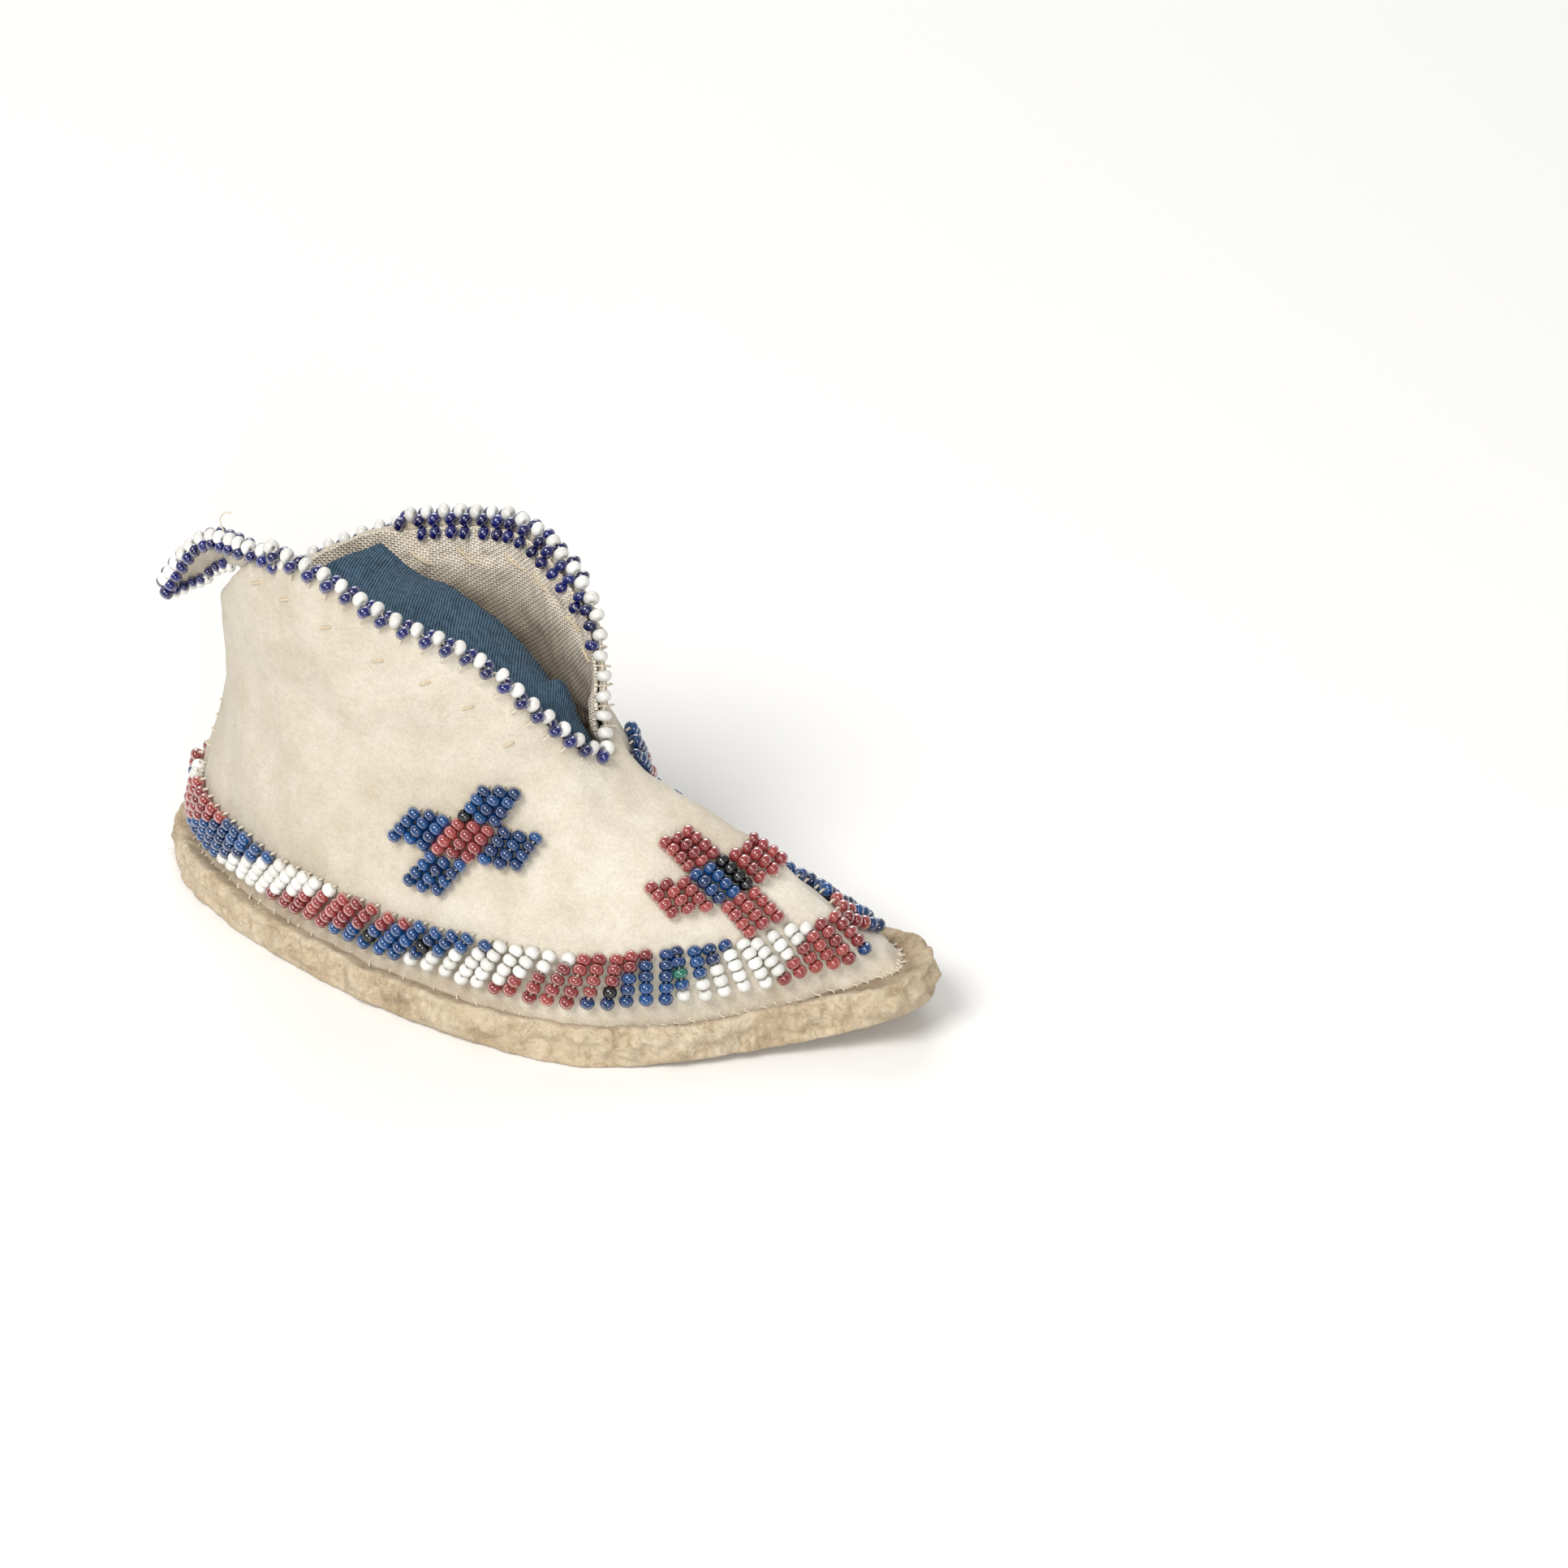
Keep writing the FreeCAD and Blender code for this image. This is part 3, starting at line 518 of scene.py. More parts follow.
def woven(name, dark, light, pitch, twill, sheen, fade=None, soil_and_painted_shade=None):
    """Cloth whose threads follow the piece's UV, which is in mm."""
    n = Nodes(name)
    uv = n.node("ShaderNodeUVMap", uv_map="UVMap")
    split = n.node("ShaderNodeSeparateXYZ")
    n.link(uv.outputs["UV"], split.inputs["Vector"])
    u = n.math("DIVIDE", split.outputs[0], pitch)
    v = n.math("DIVIDE", split.outputs[1], pitch)
    drift = n.math("MULTIPLY", n.noise(5, 2, 0.5), 0.9)
    u, v = n.math("ADD", u, drift), n.math("ADD", v, drift)
    if twill:
        v = n.math("ADD", v, n.math("MULTIPLY", u, 0.5))
    warp = n.math("ABSOLUTE", n.math("SINE", n.math("MULTIPLY", u, math.pi)))
    weft = n.math("ABSOLUTE", n.math("SINE", n.math("MULTIPLY", v, math.pi)))
    over = n.math("PINGPONG", n.math("ADD", n.math("FLOOR", u), n.math("FLOOR", v)), 1.0)
    inverse = n.math("SUBTRACT", 1.0, over)
    if twill:
        height = n.math("ADD", n.math("MULTIPLY", weft, 0.75), n.math("MULTIPLY", warp, 0.25))
    else:
        height = n.math("ADD", n.math("MULTIPLY", warp, over), n.math("MULTIPLY", weft, inverse))
    slub = n.noise(0.9, 3, 0.6, (1, 1, 0.5))
    shade = n.math("ADD", n.math("MULTIPLY", height, 0.55), n.math("MULTIPLY", slub, 0.8))
    colour = n.ramp(shade, (0.4, dark), (1.0, light))
    if fade is not None:
        worn = n.ramp(n.noise(14, 4, 0.6), (0.45, 0.0), (0.72, 0.45))
        colour = n.mix(worn, colour, n.mix(0.5, colour, fade))
    # Painted shade: the tone darkens the cloth deep inside the shoe, where shade falls.
    if soil_and_painted_shade is not None:
        painted_shade_amount = n.tone()
        colour = n.mix(n.math("MULTIPLY", painted_shade_amount, 0.85), colour, soil_and_painted_shade)
    normal = n.bump(height, pitch * 0.5, 0.9)
    normal = n.bump(n.noise(0.3, 2, 0.7), 0.05, 0.6, normal)
    return n.finish(colour, 0.9, normal, Sheen_Weight=sheen, Sheen_Roughness=0.45, Specular_IOR_Level=0.2)


def thread(name, dark, light):
    """Spun thread with a diagonal twist."""
    n = Nodes(name)
    twist = n.node("ShaderNodeTexWave", bands_direction="DIAGONAL")
    twist.inputs["Scale"].default_value = 0.55
    twist.inputs["Distortion"].default_value = 1.5
    n.link(n.position(), twist.inputs["Vector"])
    fluff = n.noise(0.4, 3, 0.7)
    colour = n.mix(fluff, dark, light)
    normal = n.bump(twist.outputs["Fac"], 0.06, 0.7)
    return n.finish(colour, 0.85, normal, Sheen_Weight=0.2, Specular_IOR_Level=0.25)


def seed_glass(name, dark, light, clear, rough=0.02):
    """Bead glass: each bead has its own tone between dark and light, and clear lets light through."""
    n = Nodes(name)
    tone = n.tone()
    streak = n.noise(0.7, 2, 0.5, warp=0.6)
    blend = n.math("ADD", n.math("MULTIPLY", tone, 0.75), n.math("MULTIPLY", streak, 0.25))
    colour = n.ramp(blend, (0.1, dark), (0.9, light))
    grime = n.noise(0.5, 4, 0.7)
    roughness = n.math("ADD", n.math("MULTIPLY", grime, 0.08), rough)
    normal = n.bump(n.noise(1.2, 2, 0.5), 0.03, 0.25)
    return n.finish(colour, roughness, normal, Transmission_Weight=clear, IOR=1.5, Specular_IOR_Level=0.9)


HIDE_SKIN = buckskin()
RAWHIDE = rawhide()
# The canvas's last colour is painted shade deep inside the shoe.
CANVAS = woven("canvas", (0.5, 0.42, 0.315), (0.95, 0.88, 0.76), 0.42, False, 0.1,
               fade=(0.62, 0.52, 0.38), soil_and_painted_shade=(0.24, 0.19, 0.13))
BLUE_CLOTH = woven("blue_cloth", (0.003, 0.01, 0.02), (0.08, 0.148, 0.22), 0.46, True, 0.04,
                   fade=(0.08, 0.14, 0.2))
THREAD = thread("off_white_thread", (0.5, 0.42, 0.3), (0.82, 0.76, 0.64))
TAN_THREAD = thread("tan_thread", (0.42, 0.33, 0.21), (0.72, 0.62, 0.46))
GLASS = {
    "red": seed_glass("glass_red", (0.2, 0.016, 0.018), (0.42, 0.07, 0.062), 0.3),
    "blue": seed_glass("glass_blue", (0.001, 0.016, 0.08), (0.003, 0.07, 0.25), 0.2),
    "white": seed_glass("glass_white", (0.63, 0.62, 0.58), (0.8, 0.795, 0.765), 0.0, 0.1),
    "black": seed_glass("glass_black", (0.002, 0.002, 0.003), (0.008, 0.008, 0.01), 0.0),
    "green": seed_glass("glass_green", (0.004, 0.085, 0.055), (0.012, 0.17, 0.1), 0.2),
    "navy": seed_glass("glass_navy", (0.0015, 0.0015, 0.05), (0.004, 0.009, 0.15), 0.2),
}


# ---------- sole
INSIDE_SOIL = 0.6        # how soiled the sole is inside the shoe


def sole_mesh():
    """Closed rawhide plate: rings from the underside's middle round the edge to the top's middle."""
    around = 1400
    middle = np.array([0.0, 4.0])
    t = np.linspace(-np.pi, np.pi, around, endpoint=False)
    edge = np.stack(plan_point(t, 0.0), -1)
    out = edge - np.stack(plan_point(t, 1.0), -1)
    p3 = np.concatenate([edge, np.zeros((around, 1))], 1)
    ragged = 0.5 * waves(p3, 17, 21) + 0.32 * waves(p3, 6, 22) + 0.1 * waves(p3, 1.6, 23)
    turned_up = 1.5 + 0.42 * waves(p3, 26, 24) + 0.26 * waves(p3, 7, 29)
    # Sections of the edge: distance in from the plan, height.
    profile = [(1.6, 0.0), (0.9, 0.02), (0.4, 0.14), (0.1, 0.4), (0.0, 0.8)]
    side = [(0.05 * math.sin(h * 1.7), h) for h in np.linspace(1.05, 4.0, 16)]
    top = [(0.1, 4.45), (0.35, 4.78), (0.8, 4.95), (1.5, 5.0), (2.4, 5.0), (3.4, 5.0), (4.6, 5.0)]

    def ring(xy, share, lift=0.0):
        """Points over xy, at a share of the sole's thickness and lifted by some mm."""
        bottom, upper = sole_bottom(xy[:, 0]), sole_top(xy[:, 0])
        z = bottom + (upper - bottom) * share + lift
        return np.concatenate([xy, z[:, None]], 1)

    underside = edge - out * profile[0][0]
    rings = [ring(underside + (middle - underside) * 0.97 * share, 0.0)
             for share in np.linspace(0.97, 0.1, 10)]
    soiled = [0.0] * len(rings)
    for inset, height in profile + side + top:
        soiled.append(float(limit((inset - 1.9) / 1.5)))
        swell = ragged * min(1.0, height / 1.2)
        xy = edge - out * inset + out * swell[:, None]
        lift = turned_up * (height / SOLE_THICK) ** 2 * max(0.0, 1 - inset / 3.4)
        r = ring(xy, height / SOLE_THICK, lift)
        layer = 0.36 * waves(r * [1, 1, 1.3], 4.2, 25, 14) + 0.14 * waves(r, 1.4, 26, 14)
        r[:, :2] += out * (layer * bump_at(height, 2.6, 2.2))[:, None]
        if height >= 4.4:
            r[:, 2] += 0.1 * waves(r, 2.2, 27)
        rings.append(r)
    inner = edge - out * top[-1][0]
    for share in np.linspace(0.12, 0.97, 9):
        r = ring(inner + (middle - inner) * share, 1.0)
        r[:, 2] += 0.1 * waves(r, 7, 28)
        rings.append(r)
        soiled.append(INSIDE_SOIL)
    grid = np.stack(rings)
    faces = grid_faces(len(rings), around, wrap_columns=True)
    points = grid.reshape(-1, 3)
    caps = []
    for row, flip in ((0, False), (len(rings) - 1, True)):
        centre = grid[row].mean(0)
        points = np.concatenate([points, centre[None]])
        hub = len(points) - 1
        index = row * around + np.arange(around)
        after = row * around + (np.arange(around) + 1) % around
        for k in range(0, around, 2):
            a, b, c = index[k], after[k], after[(k + 1) % around]
            caps.append([hub, c, b, a] if not flip else [hub, a, b, c])
    tone = np.append(np.repeat(soiled, around), [0.0, INSIDE_SOIL])
    return points, np.concatenate([faces, np.array(caps)]), tone


points, faces, soiled = sole_mesh()
sole = mesh_object("rawhide_sole", points, faces, RAWHIDE, tone=soiled)
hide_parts("sole")

# ---------- upper
AROUND, ROWS = 1080, 140


def upper_mesh():
    """Closed shell of hide: up the outer face, over the rim and down the inner face."""
    t = np.linspace(-np.pi, np.pi, AROUND, endpoint=False)[None]
    s = np.linspace(0, 1, ROWS)[:, None]
    base = sole_top(foot(t, FOOT_SIDE)[..., 0]) - 0.15
    rim = rim_height(t) + 0.12 * waves(foot(t, 45.0), 7, 31)
    z = base + (rim - base) * s
    out = foot_axes(t, z)[2]
    flare = 0.5 * np.exp(-(z - base) / 0.9)
    pinch = 0.32 * np.exp(-(rim - z) / 0.9)
    outer = hide(t, z) + out * flare[..., None] - out * pinch[..., None]
    inner = hide(t, z, HIDE) + out * pinch[..., None]
    lip = (outer[-1:] + inner[-1:]) / 2 + [0, 0, 0.2]
    grid = np.concatenate([outer, lip, inner[::-1]])
    faces = grid_faces(len(grid), AROUND, wrap_columns=True, wrap_rows=True)
    soiled = np.exp(-(z - base) / 2.2)
    soiled = np.concatenate([soiled, soiled[-1:], soiled[::-1]])
    return grid.reshape(-1, 3), faces, soiled


points, faces, soiled = upper_mesh()
upper = mesh_object("buckskin_upper", points, faces, HIDE_SKIN, tone=soiled)
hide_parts("upper")

# Curled tab at the heel end of the outer flap: its top and its low edge, from root to tip.
TAB_TOP = [
    (-33, -10.4, 60.2), (-36.5, -9.9, 60.9), (-40.5, -9.3, 60.9), (-43.5, -8.9, 60.9), (-46.4, -8.6, 60.7),
    (-49.6, -8.5, 58.9), (-52.2, -8.5, 56), (-54.4, -8.5, 53), (-56, -8.6, 50.3),
]
TAB_LOW = [
    (-34.5, -10.6, 55.0), (-38.4, -9.4, 55.4), (-42, -7.9, 56.6), (-44.9, -7.2, 56.6), (-47.4, -6.6, 55.2),
    (-50.2, -6.2, 52.7), (-52.5, -6.2, 51.3), (-54.5, -6.8, 50.1), (-55.9, -8, 49.4),
]


def tab_point(along, across):
    """Point and normal of the tab: along runs 0 to 1 from root to tip, across from top to low edge."""
    along, across = np.broadcast_arrays(np.asarray(along, float), np.asarray(across, float))
    a, b = open_spline(TAB_TOP, along), open_spline(TAB_LOW, along)
    mid = a + (b - a) * across[..., None]
    ahead = open_spline(TAB_TOP, along + 0.02) - open_spline(TAB_TOP, along - 0.02)
    skin = unit(np.cross(a - b, ahead))
    cup = np.sin(np.pi * across)[..., None] * 0.5 * np.linalg.norm(a - b, axis=-1, keepdims=True) * 0.3
    return mid - skin * cup, skin


def tab_mesh():
    """Closed strip of hide, thinner towards its edges and tip."""
    along, across = np.meshgrid(np.linspace(0, 1, 90), np.linspace(0, 1, 22), indexing="ij")
    p, skin = tab_point(along, across)
    p = p + skin * (0.12 * waves(p, 4, 33))[..., None]
    ends = np.minimum(1, (1 - along) * 14 + 0.35)[..., None]
    edge = np.sqrt(limit(np.sin(np.pi * np.clip(across, 0.02, 0.98))))[..., None]
    half = skin * HIDE * 0.5 * (0.35 + 0.65 * edge) * ends
    return slab(p + half, p - half)


tab = mesh_object("buckskin_tab", *tab_mesh(), HIDE_SKIN)
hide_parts("upper")


# ---------- linings
LINING, LINING_LOW = 0.5, 26.0     # thickness, height of the lower edge
WEAVE_ROUND = 25.5                 # turns angles into mm of cloth for the weave
TUCKED = 112.0                     # degrees beyond which the inner flap's beads sit behind its canvas


def lining_point(t, z, depth):
    """Point on a lining: it hangs a little off the hide and is drawn to it along its stitches."""
    t, z = np.broadcast_arrays(np.asarray(t, float), np.asarray(z, float))
    p = foot(t, z)
    below = rim_height(t) - z
    out = foot_axes(t, z)[2]
    slack = 0.55 + 0.3 * waves(p, 9, 41) + 0.12 * waves(p, 3, 42)
    turns = np.degrees(t) / STITCH_TURN
    drawn = bump_at(below, STITCH_BELOW, 1.0) * (0.5 + 0.5 * np.cos(turns * 2 * np.pi))
    slack = slack * (1 - 0.7 * drawn) * np.clip(below / 3.0, 0.12, 1)
    return p + out * (hide_relief(t, z) - HIDE - 0.1 - slack - depth)[..., None]


def lining_piece(name, side, start, stop, cad):
    """Canvas inside one flap, from start to stop degrees, with painted shade towards its foot."""
    columns, rows = 260, 90
    t = np.radians(side * np.linspace(start, stop, columns))[None]
    high = rim_height(t) - 0.9 + 0.12 * waves(foot(t, RIM_SIDE), 2.2, 43)
    if side == INNER:
        high = high + 1.15 * limit((np.degrees(t) - TUCKED) / 6)
    z = LINING_LOW + (high - LINING_LOW) * np.linspace(0, 1, rows)[:, None]
    front, back = lining_point(t, z, LINING), lining_point(t, z, 0.0)
    order = slice(None, None, -side)
    points, faces = slab(front[:, order], back[:, order])
    run_t, run_z = np.broadcast_to(t, z.shape)[:, order], z[:, order]
    uv = np.stack([run_t * WEAVE_ROUND, run_z], -1).reshape(-1, 2)
    # Painted shade: the canvas darkens with depth below the rim, where shade falls inside the shoe.
    painted_shade_amount = limit((rim_height(run_t) - run_z - 4.5) / 9)
    piece = mesh_object(name, points, faces, CANVAS, uv=np.concatenate([uv, uv]),
                        tone=np.concatenate([painted_shade_amount, painted_shade_amount]))
    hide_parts(cad)


lining_piece("outer_lining_canvas", OUTER, 13, 128, "outer_lining")
lining_piece("inner_lining_canvas", INNER, 13, 158, "inner_lining")

# ---------- tongue
# The cloth's inner and outer edges, from the V to the back.
TONGUE_FAR = [
    (9.7, 6.3, 33.9), (6.8, 6.8, 37.2), (1.5, 8.2, 42), (-8, 10.5, 46.8), (-19, 10.5, 51.4), (-30, 10, 55.8),
]
TONGUE_NEAR = [
    (9.7, 2.2, 33.4), (6.8, 1.9, 36.6), (2.2, -0.8, 41), (-8, -6.2, 45.4), (-21, -9.2, 49.6), (-35.5, -8, 52),
]
TONGUE_THICK = 0.8
TONGUE_ROWS, TONGUE_COLUMNS = 150, 70


def tongue_point(along, across):
    """Blue cloth: along 0 at the V to 1 at its back edge, across 0 inner edge to 1 outer edge."""
    far, near = open_spline(TONGUE_FAR, along), open_spline(TONGUE_NEAR, along)
    p = far + (near - far) * across[..., None]
    crown = 1.6 * 4 * across * (1 - across)
    fold = 1.9 * bump_at(along, 0.33, 0.06) * bump_at(across, 0.2, 0.3)
    hollow = 0.9 * bump_at(along, 0.42, 0.05) * (1 - across)
    crease = 0.5 * waves(p * [1, 1.6, 1], 15, 52) + 0.14 * waves(p, 5, 53)
    return p + [0, 0, 1] * (crown + fold - hollow + crease * limit(along * 3))[..., None]


along, across = np.meshgrid(np.linspace(0, 1, TONGUE_ROWS), np.linspace(0, 1, TONGUE_COLUMNS), indexing="ij")
top = tongue_point(along, across)
cloth_up = unit(np.cross(np.gradient(top, axis=1), np.gradient(top, axis=0)))
cloth_up *= np.sign(cloth_up[TONGUE_ROWS // 2, TONGUE_COLUMNS // 2, 2])
thick = TONGUE_THICK * (0.45 + 0.55 * limit(np.minimum(across, 1 - across) * 16))[..., None]
middle_line = top[:, TONGUE_COLUMNS // 2]
run = np.concatenate([[0], np.cumsum(np.linalg.norm(np.diff(middle_line, axis=0), axis=-1))])
width_here = np.linalg.norm(top[:, 0] - top[:, -1], axis=-1)
uv = np.stack([(across - 0.5) * width_here[:, None], np.broadcast_to(run[:, None], across.shape)], -1)
uv = uv.reshape(-1, 2)
points, faces = slab(top, top - cloth_up * thick)
tongue = mesh_object("blue_cloth_tongue", points, faces, BLUE_CLOTH, None, uv=np.concatenate([uv, uv]))
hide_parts("tongue")
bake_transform(tongue)

# ---------- beads
strings = []            # thread paths through the lanes
beads = {}              # (name, colour) -> list of (centre, axis, size)


def place(name, colour, centre, axis, size=1.0):
    beads.setdefault((name, colour), []).append((np.asarray(centre, float), np.asarray(axis, float), size))


def bead_ring():
    """One bead about Z: a round outer profile closed by a straight hole."""
    around, plumpness = 20, 0.75
    a = np.linspace(0, 2 * np.pi, around, endpoint=False)
    b = np.linspace(-np.pi / 2, np.pi / 2, 11)
    r = BEAD_HOLE + (BEAD_R - BEAD_HOLE) * limit(np.cos(b)) ** plumpness
    h = BEAD_HALF * np.sin(b)
    r = np.concatenate([r, [BEAD_HOLE] * 3])
    h = np.concatenate([h, BEAD_HALF * np.array([0.6, 0.0, -0.6])])
    ring = np.stack([r[None] * np.cos(a)[:, None], r[None] * np.sin(a)[:, None],
                     np.broadcast_to(h[None], (around, len(h)))], -1)
    return ring.reshape(-1, 3), grid_faces(around, len(h), True, True)


RING, RING_FACES = bead_ring()


def beads_object(name, entries, colour):
    """Beads of one place and colour as one piece, each turned and sized a little differently."""
    count = len(entries)
    centres, axes, size = (np.array(column) for column in zip(*entries))
    size = size[:, None]
    axes = unit(unit(axes) + rng.normal(0, 0.05, (count, 3)))
    side = unit(np.cross(axes, unit(rng.normal(size=(count, 3)))))
    other = np.cross(axes, side)
    fat = rng.normal(1.05, 0.025, (count, 1)).clip(1.0, 1.09) * size
    tall = rng.normal(1.13, 0.06, (count, 1)).clip(1.02, 1.2) * size
    local = RING[None] * np.concatenate([fat, fat, tall], 1)[:, None]
    p = (local[..., :1] * side[:, None] + local[..., 1:2] * other[:, None] + local[..., 2:] * axes[:, None]
         + centres[:, None])
    faces = (RING_FACES[None] + np.arange(count)[:, None, None] * len(RING)).reshape(-1, 4)
    tone = np.repeat(rng.uniform(0, 1, count), len(RING))
    return mesh_object(name, p, faces, GLASS[colour], tone=tone)


def string(points, outs):
    """Thread through a lane of beads, dipping into the hide at both ends."""
    points, outs = np.asarray(points), np.asarray(outs)
    step = unit(points[-1] - points[0]) * BEAD_STEP * 0.62
    before = [points[0] - step - outs[0], points[0] - step * 0.8 - outs[0] * 0.4]
    after = [points[-1] + step * 0.8 - outs[-1] * 0.4, points[-1] + step - outs[-1]]
    strings.append(np.array(before + list(points) + after))


# Band of slanted lanes round the foot. A lane's end beads tilt towards the hide.
END_TILT = 0.4
COLOURS = ["red", "blue", "white"]
BAND_ROWS, BAND_BLOCK, FIRST_BLOCK, BAND_FOOT = 5, 5, 2, 3.9
# Where round the foot, and how far the lanes lean there from upright, in degrees.
LEANS = np.array([
    (-180, 8), (-155, 20), (-127, 35), (-108, 38), (-95, 36), (-77, 22), (-61, 14), (-28, -18), (-19, -28),
    (0, -31), (15, -27), (30, -22), (45, -18), (77, -24), (95, -34), (127, -34), (155, -20), (180, 8),
], float)


def walk(t, z, sideways, up):
    """Angle and height reached by going sideways and straight up (mm) along the upper's face."""
    for _ in range(8):
        p = foot(t, z)
        around, rise, _ = foot_axes(t, z)
        wide = np.linalg.norm(foot(t + 0.01, z) - p, axis=-1) / 0.01
        tall = (foot(t, z + 0.2) - p) * 5
        climb = up / 8 / (tall * rise).sum(-1)
        t = t + (sideways / 8 - climb * (tall * around).sum(-1)) / wide
        z = z + climb
    return t, z


def lean_at(degrees):
    return np.radians(np.interp(degrees, LEANS[:, 0], LEANS[:, 1]))


fine = np.arange(-180, 181)
fine_t, fine_lean = np.radians(fine), lean_at(fine)
fine_z = sole_top(foot(fine_t, 10.0)[:, 0]) + BAND_FOOT
low_end = foot(fine_t, fine_z)
around, rise, _ = foot_axes(fine_t, fine_z)
sideways = around * np.cos(fine_lean)[:, None] - rise * np.sin(fine_lean)[:, None]
full = BEAD_STEP * (BAND_ROWS - 1)
high_end = foot(*walk(fine_t, fine_z, full * np.sin(fine_lean), full * np.cos(fine_lean)))
gaps = [(np.diff(end, axis=0) * sideways[:-1]).sum(1) for end in (low_end, high_end)]
travel = np.concatenate([[0], np.cumsum(np.minimum(*gaps))])
lane_count = int(travel[-1] / LANE_STEP)
lane_degrees = np.interp((np.arange(lane_count) + 0.5) * travel[-1] / lane_count, travel, fine)
ODD = {(20, 1): "black", (23, 2): "black", (34, 1): "black", (38, 2): "green"}     # by lane and row
for index, degrees in enumerate(lane_degrees):
    t = math.radians(degrees) + rng.normal(0, 0.0012)
    lean = float(lean_at(degrees)) + rng.normal(0, 0.03)
    z = float(fine_z[int(round(degrees)) + 180]) + rng.normal(0, 0.14)
    lane, outs = [], []
    for row in range(BAND_ROWS):
        around, rise, out = foot_axes(t, z)
        colour = COLOURS[((index - FIRST_BLOCK + BAND_ROWS - 1 - row) // BAND_BLOCK) % 3]
        colour = ODD.get((index, row), colour)
        belly = 0.22 * math.sin(math.pi * (row + 0.5) / BAND_ROWS)
        lane.append(hide(t, z) + out * (BEAD_R + belly))
        outs.append(out)
        dip = END_TILT * (1 - 2 * row / (BAND_ROWS - 1))
        place("band_beads", colour, lane[-1], around * math.sin(lean) + rise * math.cos(lean) + out * dip)
        t, z = walk(t, z, BEAD_STEP * math.sin(lean), BEAD_STEP * math.cos(lean))
    string(lane, outs)

# Crosses of five blocks: angle, height, lean of the lanes, lean of the rows, colours of arms and middle.
CROSSES = [
    ("outer_cross", -67.2, 26.0, 60, -4, "blue", "red"),
    ("inner_cross", 58.0, 25.0, 115, 179, "blue", "red"),
    ("toe_cross", -11.5, 21.9, 124, 16, "red", "blue"),
]
BLOCKS = [(0, 0), (1, 0), (-1, 0), (0, 1), (0, -1)]
LANES, LENGTH = 3, 4

for name, angle, height, lean, level, arms, centre_colour in CROSSES:
    lean, level = math.radians(lean), math.radians(level)
    lane_gap = 2 * BEAD_R / abs(math.sin(lean - level))
    block_wide, block_tall = LANES * lane_gap + 0.1, LENGTH * BEAD_STEP + 0.35
    for bx, by in BLOCKS:
        for lane_index in range(LANES):
            lane, outs, lane_slip = [], [], rng.normal(0, 0.18)
            for k in range(LENGTH):
                a = bx * block_wide + (lane_index - 1) * lane_gap
                b = by * block_tall + (k - (LENGTH - 1) / 2) * BEAD_STEP + lane_slip
                t, z = walk(math.radians(angle), height, a * math.cos(level) + b * math.cos(lean),
                            a * math.sin(level) + b * math.sin(lean))
                axes = foot_axes(t, z)
                colour = centre_colour if (bx, by) == (0, 0) else arms
                if name == "toe_cross" and (bx, by) == (0, 0) and lane_index == 2:
                    colour = "black"
                if name == "outer_cross" and (bx, by, lane_index, k) == (0, 1, 0, 0):
                    colour = "black"
                belly = 0.2 * math.sin(math.pi * (k + 0.5) / LENGTH)
                lane.append(hide(t, z) + axes[2] * (BEAD_R + belly))
                outs.append(axes[2])
                dip = END_TILT * (1 - 2 * k / (LENGTH - 1))
                thread_way = axes[0] * math.cos(lean) + axes[1] * math.sin(lean) + axes[2] * dip
                place(name, colour, lane[-1], thread_way)
            string(lane, outs)


# Rim edging.
def rim_frame(t):
    """Middle of the hide's rim, direction along it, out of the hide and up over the edge."""
    z = rim_height(t)
    middle = hide(t, z, HIDE / 2)
    before, after = (hide(near, rim_height(near), HIDE / 2) for near in (t - 0.015, t + 0.015))
    ahead = unit(after - before)
    out = foot_axes(t, z)[2]
    out = unit(out - ahead * np.sum(ahead * out, -1, keepdims=True))
    over = unit(np.cross(ahead, out))
    over = over * np.sign(over[..., 2:3] + 1e-9)
    return middle, ahead, out, over


